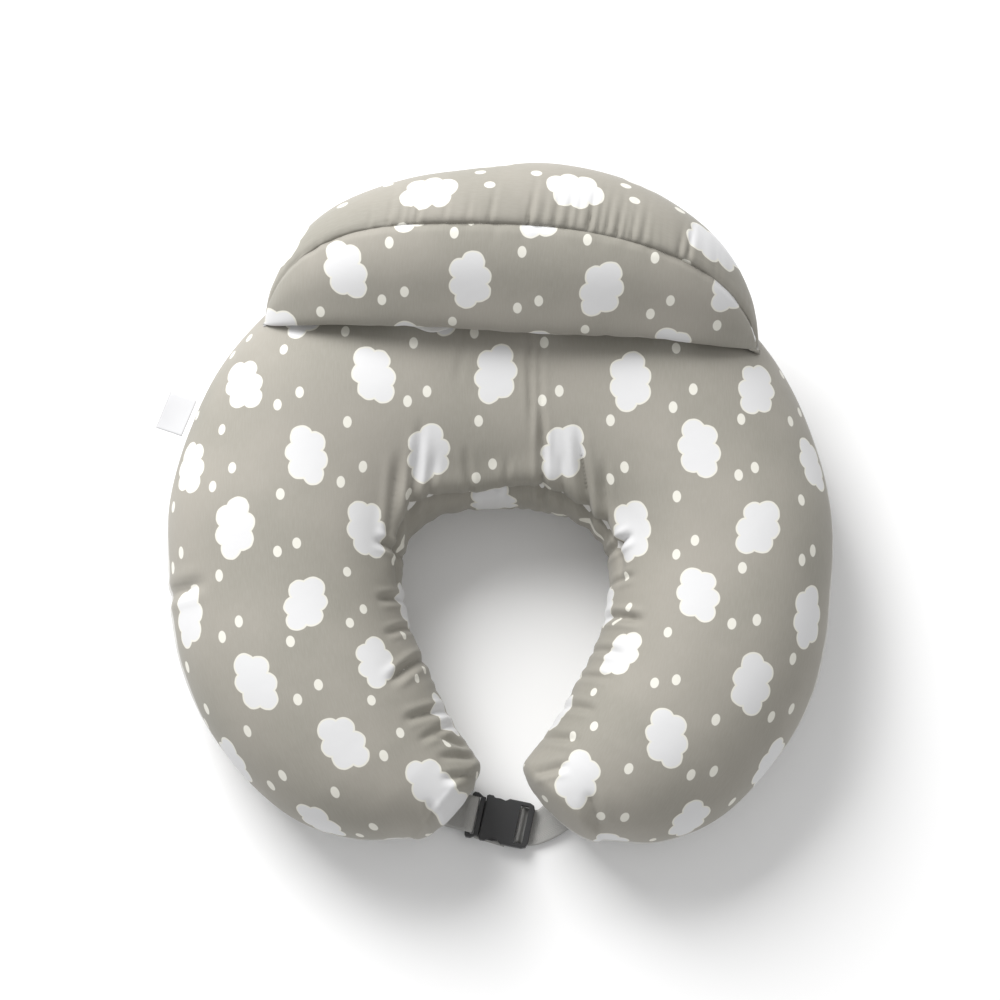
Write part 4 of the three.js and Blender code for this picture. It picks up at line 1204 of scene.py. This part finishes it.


# %% [markdown]
# ## Plastic, metal, satin and thread
# The buckle is black acetal from a spark-eroded mould, with a painted highlight that lightens its convex
# edges. The zip's metal is plated zinc with fine brushing. The label is a plain satin with nothing printed on
# it.

# %% Hard and shiny finishes
def black_acetal():
    finish = Finish("black acetal", (0.028, 0.028, 0.029), 0.42, Specular_IOR_Level=0.5)
    place = finish.place()
    grain = finish.noise(place, 2600.0, 2.0)
    # Painted highlight: the convex edges, found by their pointiness, are painted lighter than the flat faces.
    edge_highlight = finish.band(finish.add("ShaderNodeNewGeometry").outputs["Pointiness"], 0.52, 0.6)
    scuffs = finish.band(finish.noise(finish.vector("MULTIPLY", place, (1, 6, 1)), 180.0, 4.0), 0.55, 0.75)
    colour = finish.mix(finish.math("MULTIPLY", edge_highlight, 0.5), (0.027, 0.027, 0.028), (0.06, 0.06, 0.062))
    rough = finish.math("MULTIPLY_ADD", grain, 0.16, finish.math("MULTIPLY_ADD", scuffs, -0.08, 0.36))
    return finish.set(Base_Color=colour, Roughness=rough, Normal=finish.bump(grain, 0.05 * MM, 0.5))


def plated_zinc():
    finish = Finish("plated zinc", (0.62, 0.62, 0.61), 0.3, Metallic=1.0)
    brushed = finish.noise(finish.vector("MULTIPLY", finish.place(), (1, 1, 12)), 700.0, 3.0)
    rough = finish.math("MULTIPLY_ADD", brushed, 0.2, 0.22)
    colour = finish.mix(brushed, (0.55, 0.55, 0.54), (0.68, 0.68, 0.67))
    return finish.set(Base_Color=colour, Roughness=rough, Normal=finish.bump(brushed, 0.03 * MM, 0.3))


def white_nylon():
    finish = Finish("white nylon", (0.80, 0.78, 0.73), 0.35)
    tone = finish.noise(finish.place(), 90.0, 2.0)
    return finish.set(Base_Color=finish.mix(tone, (0.74, 0.72, 0.67), (0.84, 0.82, 0.78)))


def satin():
    finish = Finish("label satin", (0.85, 0.85, 0.85), 0.45, Sheen_Weight=0.2, Anisotropic=0.4)
    weave = finish.weave(900.0, "Y")
    colour = finish.mix(weave, (0.50, 0.50, 0.51), (0.58, 0.58, 0.59))
    return finish.set(Base_Color=colour, Normal=finish.bump(weave, 0.05 * MM, 0.5))


def sewing_thread():
    finish = Finish("cream thread", (0.80, 0.78, 0.72), 0.6, Sheen_Weight=0.2)
    twist = finish.noise(finish.place(), 1800.0, 2.0)
    return finish.set(Base_Color=finish.mix(twist, (0.70, 0.68, 0.62), (0.86, 0.84, 0.79)))


acetal = black_acetal()
zinc = plated_zinc()
nylon = white_nylon()
label_satin = satin()
thread = sewing_thread()
print("materials:", len(bpy.data.materials))

# %% [markdown]
# ## Zip tapes, coil and stitches
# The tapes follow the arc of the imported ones. Each coil is a row of small bars across the zip, and two
# lines of stitches hold each tape to the cover.

# %% Build the zip
ZIP_RADIUS = 274.7
ZIP_HALF_ANGLE = 38
COIL_RADIUS = 276.7
TAPE_BAND = (0.2, 9.2)               # a tape's edges, above or below the middle of the zip
STITCH_LINES = (5.2, 8.0)


def arc(radius, height, half_angle, count=90):
    angles = np.radians(np.linspace(-half_angle, half_angle, count))
    return np.column_stack([radius * np.sin(angles), radius * np.cos(angles), np.full(count, height)])


def zip_side(side, name):
    """One tape with its row of coil and its two lines of stitches; side is 1 above and -1 below."""
    path = arc(ZIP_RADIUS + 0.4, ZIP_HEIGHT + side * sum(TAPE_BAND) / 2, ZIP_HALF_ANGLE)
    wide = np.tile([0.0, 0.0, (TAPE_BAND[1] - TAPE_BAND[0]) * MM], (len(path), 1))
    outward = path * [1, 1, 0] / np.linalg.norm(path[:, :2], axis=1, keepdims=True)
    tape = ribbon_mesh(f"zip_tape_{name}_cloth", in_frame(path), wide, outward, 0.7 * MM, 8)
    coil_path = in_frame(arc(COIL_RADIUS, ZIP_HEIGHT + side * 1.15, 35.8))
    coil = bars(f"zip_coil_{name}_teeth", coil_path, 1.35, (1.0, 1.7, 2.0), nylon)
    lines = []
    for number, height in enumerate(STITCH_LINES):
        line = in_frame(arc(ZIP_RADIUS + 0.85, ZIP_HEIGHT + side * height, 37.6))
        lines.append(bars(f"zip_{name}_stitches_{number}", line, 3.0, (2.3, 0.42, 0.42), thread))
    return tape, coil, lines


upper_tape, upper_coil, upper_stitches = zip_side(1, "upper")
lower_tape, lower_coil, lower_stitches = zip_side(-1, "lower")
print("zip length, mm:", round(float(length_along(arc(ZIP_RADIUS, ZIP_HEIGHT, ZIP_HALF_ANGLE))[-1])))

# %% [markdown]
# ## The care label
# A strip of white satin is folded in half and caught in the left seam. It is blank here. Both layers are
# one strip that goes out, turns at the fold and comes back, and it curls a little.

# %% Label
LABEL_ANGLE = math.radians(-68)
LABEL_LONG, LABEL_OUT = 32, 25
LABEL_DROOP = math.radians(18)
LABEL_HEIGHT = 78
LABEL_ROOT = 275.4

label_steps = np.linspace(-1, 1, 41)     # from one sewn end to the other, with the fold at 0
label_out = LABEL_OUT * (1 - np.abs(label_steps))
label_lift = 0.28 * np.sign(label_steps) * (1 - np.exp(-((1 - label_out / LABEL_OUT) * 40)))
label_along = np.linspace(-0.5, 0.5, 25) * LABEL_LONG
label_grid = np.zeros((len(label_steps), len(label_along), 3))
label_grid[..., 0] = label_along[None, :]
curl = 1.6 * (label_out[:, None] / LABEL_OUT) ** 2 * np.sin(label_along[None, :] / LABEL_LONG * 3.0 + 0.4)
label_grid[..., 1] = label_out[:, None] * math.cos(LABEL_DROOP)
label_grid[..., 2] = -label_out[:, None] * math.sin(LABEL_DROOP) + label_lift[:, None] + curl
label_x = np.array([math.cos(LABEL_ANGLE), -math.sin(LABEL_ANGLE), 0])
label_y = np.array([math.sin(LABEL_ANGLE), math.cos(LABEL_ANGLE), 0])
label_place = label_y * LABEL_ROOT + [0, 0, LABEL_HEIGHT]
label_points = (label_place + label_grid[..., :1] * label_x + label_grid[..., 1:2] * label_y
                + label_grid[..., 2:] * [0, 0, 1])
label_uv = np.stack(np.broadcast_arrays(label_along[None, :], label_steps[:, None] * LABEL_OUT), axis=-1) * MM
label = mesh_object("blank_care_label", in_frame(label_points), grid_faces(*label_points.shape[:2]), label_uv)
add_modifier(label, "SOLIDIFY", thickness=0.22 * MM, offset=0.0)
print("label points:", label_grid.shape[:2])

# %% [markdown]
# ## Give each piece its cloth
# A panel's faces have to look outwards before the cloth gets its thickness. Each piece then rides on its
# body, hides the imported solid it stands for, and takes its finish.

# %% Finish the soft pieces
def outwards(thing, upwards):
    """Faces of a panel look up, or down for an underside."""
    total = sum(polygon.normal.z * polygon.area for polygon in thing.data.polygons)
    if (total > 0) != upwards:
        thing.data.flip_normals()


def outfit(thing, material, body_name, slot, *nodes):
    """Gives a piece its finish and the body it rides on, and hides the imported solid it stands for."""
    thing.data.materials.clear()
    thing.data.materials.append(material)
    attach(thing, body_name)
    if nodes:
        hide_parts(*nodes)


for panel, upwards, thickness in (
        (printed_cover, True, 1.0), (plush_underside, False, 1.6), (casing_top, True, 0.7),
        (casing_under, False, 0.7), (head_front, True, 1.0), (head_gusset, True, 1.0),
        (head_back, False, 1.4)):
    outwards(panel, upwards)
    add_modifier(panel, "SOLIDIFY", thickness=thickness * MM, offset=-1.0)

# %% [markdown]
# ## Who wears what
# Every piece that stays on one body is a row here: its finish, the body it rides on, the name of its
# material slot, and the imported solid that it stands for.

# %% Outfit of every piece that stays on one body
for piece in (
        (printed_cover, printed_cotton, "pillow", "printed_cotton", "cover_top_panel"),
        (plush_underside, underside_plush, "pillow", "underside_plush", "cover_bottom_panel"),
        (casing_top, inner_cotton, "pillow", "inner_cotton", "inner_casing_top"),
        (casing_under, inner_cotton, "pillow", "inner_cotton", "inner_casing_bottom"),
        (pillow_fibre, white_fibre, "pillow", "fibre_fill", "main_fibre_fill"),
        (seam_tape, inner_cotton, "pillow", "inner_cotton", "head_seam_tape"),
        (left_strap, grey_webbing, "pillow", "webbing", "left_webbing"),
        (strap_end, grey_webbing, "strap_tail", "webbing", "strap_tail"),
        (upper_tape, zip_tape_cloth, "pillow", "zip_tape", "zip_tape_upper"),
        (lower_tape, zip_tape_cloth, "pillow", "zip_tape", "zip_tape_lower"),
        (upper_coil, nylon, "pillow", "zip_nylon", "zip_coil_upper"),
        (lower_coil, nylon, "pillow", "zip_nylon", "zip_coil_lower"),
        (plug_body, acetal, "pillow", "black_plastic", "buckle_plug"),
        (socket_body, acetal, "buckle_socket", "black_plastic", "buckle_socket"),
        (rear_latch, acetal, "latch_arm_rear", "black_plastic", "latch_arm_rear"),
        (front_latch, acetal, "latch_arm_front", "black_plastic", "latch_arm_front"),
        (slider_body, zinc, "zip_slider", "zip_metal", "zip_slider"),
        (pull_tab, zinc, "zip_pull", "zip_metal", "zip_pull"),
        (closed_stop, zinc, "pillow", "zip_metal", "zip_stop_closed"),
        (open_stop, zinc, "pillow", "zip_metal", "zip_stop_open"),
        (label, label_satin, "care_label", "label_satin", "care_label"),
        (head_fibre, white_fibre, "head_cushion", "fibre_fill", "head_fibre_fill")):
    outfit(*piece)
for row in upper_stitches + lower_stitches:
    outfit(row, thread, "pillow", "zip_tape")
print("rows of stitches:", len(upper_stitches + lower_stitches))

# %% [markdown]
# ## Cloth that crosses a joint
# The head cushion lifts about the seam that holds it, and the right strap runs from the pillow to the socket.
# Each of these pieces becomes one plain mesh with its thickness applied and its finish given, and its
# imported solid is hidden.

# %% Make the pieces that cross a joint plain meshes
def bend(thing, material, node):
    """Makes a piece one plain mesh with its modifiers applied, gives it its finish and hides its imported
    solid.
    """
    thing.data.materials.clear()
    thing.data.materials.append(material)
    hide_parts(node)
    bpy.context.view_layer.update()
    made = bpy.data.meshes.new_from_object(thing.evaluated_get(bpy.context.evaluated_depsgraph_get()))
    thing.modifiers.clear()
    thing.data = made
    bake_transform(thing)


for thing, material, slot, node in (
        (head_front, printed_cotton, "printed_cotton", "head_front_panel"),
        (head_gusset, printed_cotton, "printed_cotton", "head_gusset"),
        (head_back, underside_plush, "underside_plush", "head_back_panel")):
    bend(thing, material, node)
bend(right_strap, grey_webbing, "right_webbing")

# %% [markdown]

# %% [markdown]
# ## The floor
# A plain pale floor, just under the pillow, takes the shadow and shows that the pillow lies on it.

# %% Floor
floor_mesh = bpy.data.meshes.new("studio_floor")
floor_corners = [(x, y, -0.0005) for x, y in ((-6, -6), (6, -6), (6, 6), (-6, 6))]
floor_mesh.from_pydata(floor_corners, [], [(0, 1, 2, 3)])
floor = bpy.data.objects.new("studio_floor", floor_mesh)
bpy.context.scene.collection.objects.link(floor)
floor_finish = Finish("studio floor", (0.90, 0.90, 0.90), 0.9)
floor.data.materials.append(floor_finish.material)
print("floor, m:", tuple(floor.dimensions))

# %% [markdown]
# ## The lights
# One large soft light from behind and to the left skims over the cloth, so that its folds show. A weak
# one opens the shadows on the right, and a white sky fills in everywhere.

# %% Lights
def area_light(name, place, size, power):
    """A square area light that looks at the middle of the pillow."""
    data = bpy.data.lights.new(name, "AREA")
    data.energy, data.size = power, size
    lamp = bpy.data.objects.new(name, data)
    lamp.location = place
    lamp.rotation_euler = (Vector((0, 0, 0.05)) - Vector(place)).to_track_quat("-Z", "Y").to_euler()
    bpy.context.scene.collection.objects.link(lamp)


area_light("key_light", (-1.35, 2.0, 2.3), 1.9, 138)
area_light("fill_light", (1.6, -0.2, 2.4), 2.4, 3)
print("lights:", len(bpy.data.lights))
world = bpy.data.worlds.new("studio")
bpy.context.scene.world = world
world.use_nodes = True
sky = world.node_tree.nodes["Background"]
sky.inputs["Color"].default_value = (1, 1, 1, 1)
sky.inputs["Strength"].default_value = 0.58
bpy.context.scene.view_settings.view_transform = "Standard"

# %% [markdown]
# ## The camera
# The camera looks down at the pillow from a little in front of it. A long lens from far away keeps the
# pillow's proportions, and the distance follows from the width that the view has to hold.

# %% Camera
ELEVATION = math.radians(80)
METRES_ACROSS = 0.82                 # width of the view at the height of the pillow's widest line
LENS = 135
AIM_HEIGHT = 65                      # mm above the floor
AIM_SHIFT = 0.045                    # the view's middle is this share of its width above the pillow's
camera_data = bpy.data.cameras.new("camera")
camera_data.lens = LENS
distance = METRES_ACROSS * LENS / camera_data.sensor_width
towards = Vector((0, -math.cos(ELEVATION), math.sin(ELEVATION)))
upward = Vector((0, math.sin(ELEVATION), math.cos(ELEVATION)))
looked_at = Vector(in_frame([0, 0, AIM_HEIGHT])) + upward * AIM_SHIFT * METRES_ACROSS
camera = bpy.data.objects.new("camera", camera_data)
camera.location = looked_at + towards * distance
camera.rotation_euler = (-towards).to_track_quat("-Z", "Y").to_euler()
camera_data.clip_end = 50
bpy.context.scene.collection.objects.link(camera)
bpy.context.scene.camera = camera
print("camera distance, m:", round(distance, 2))
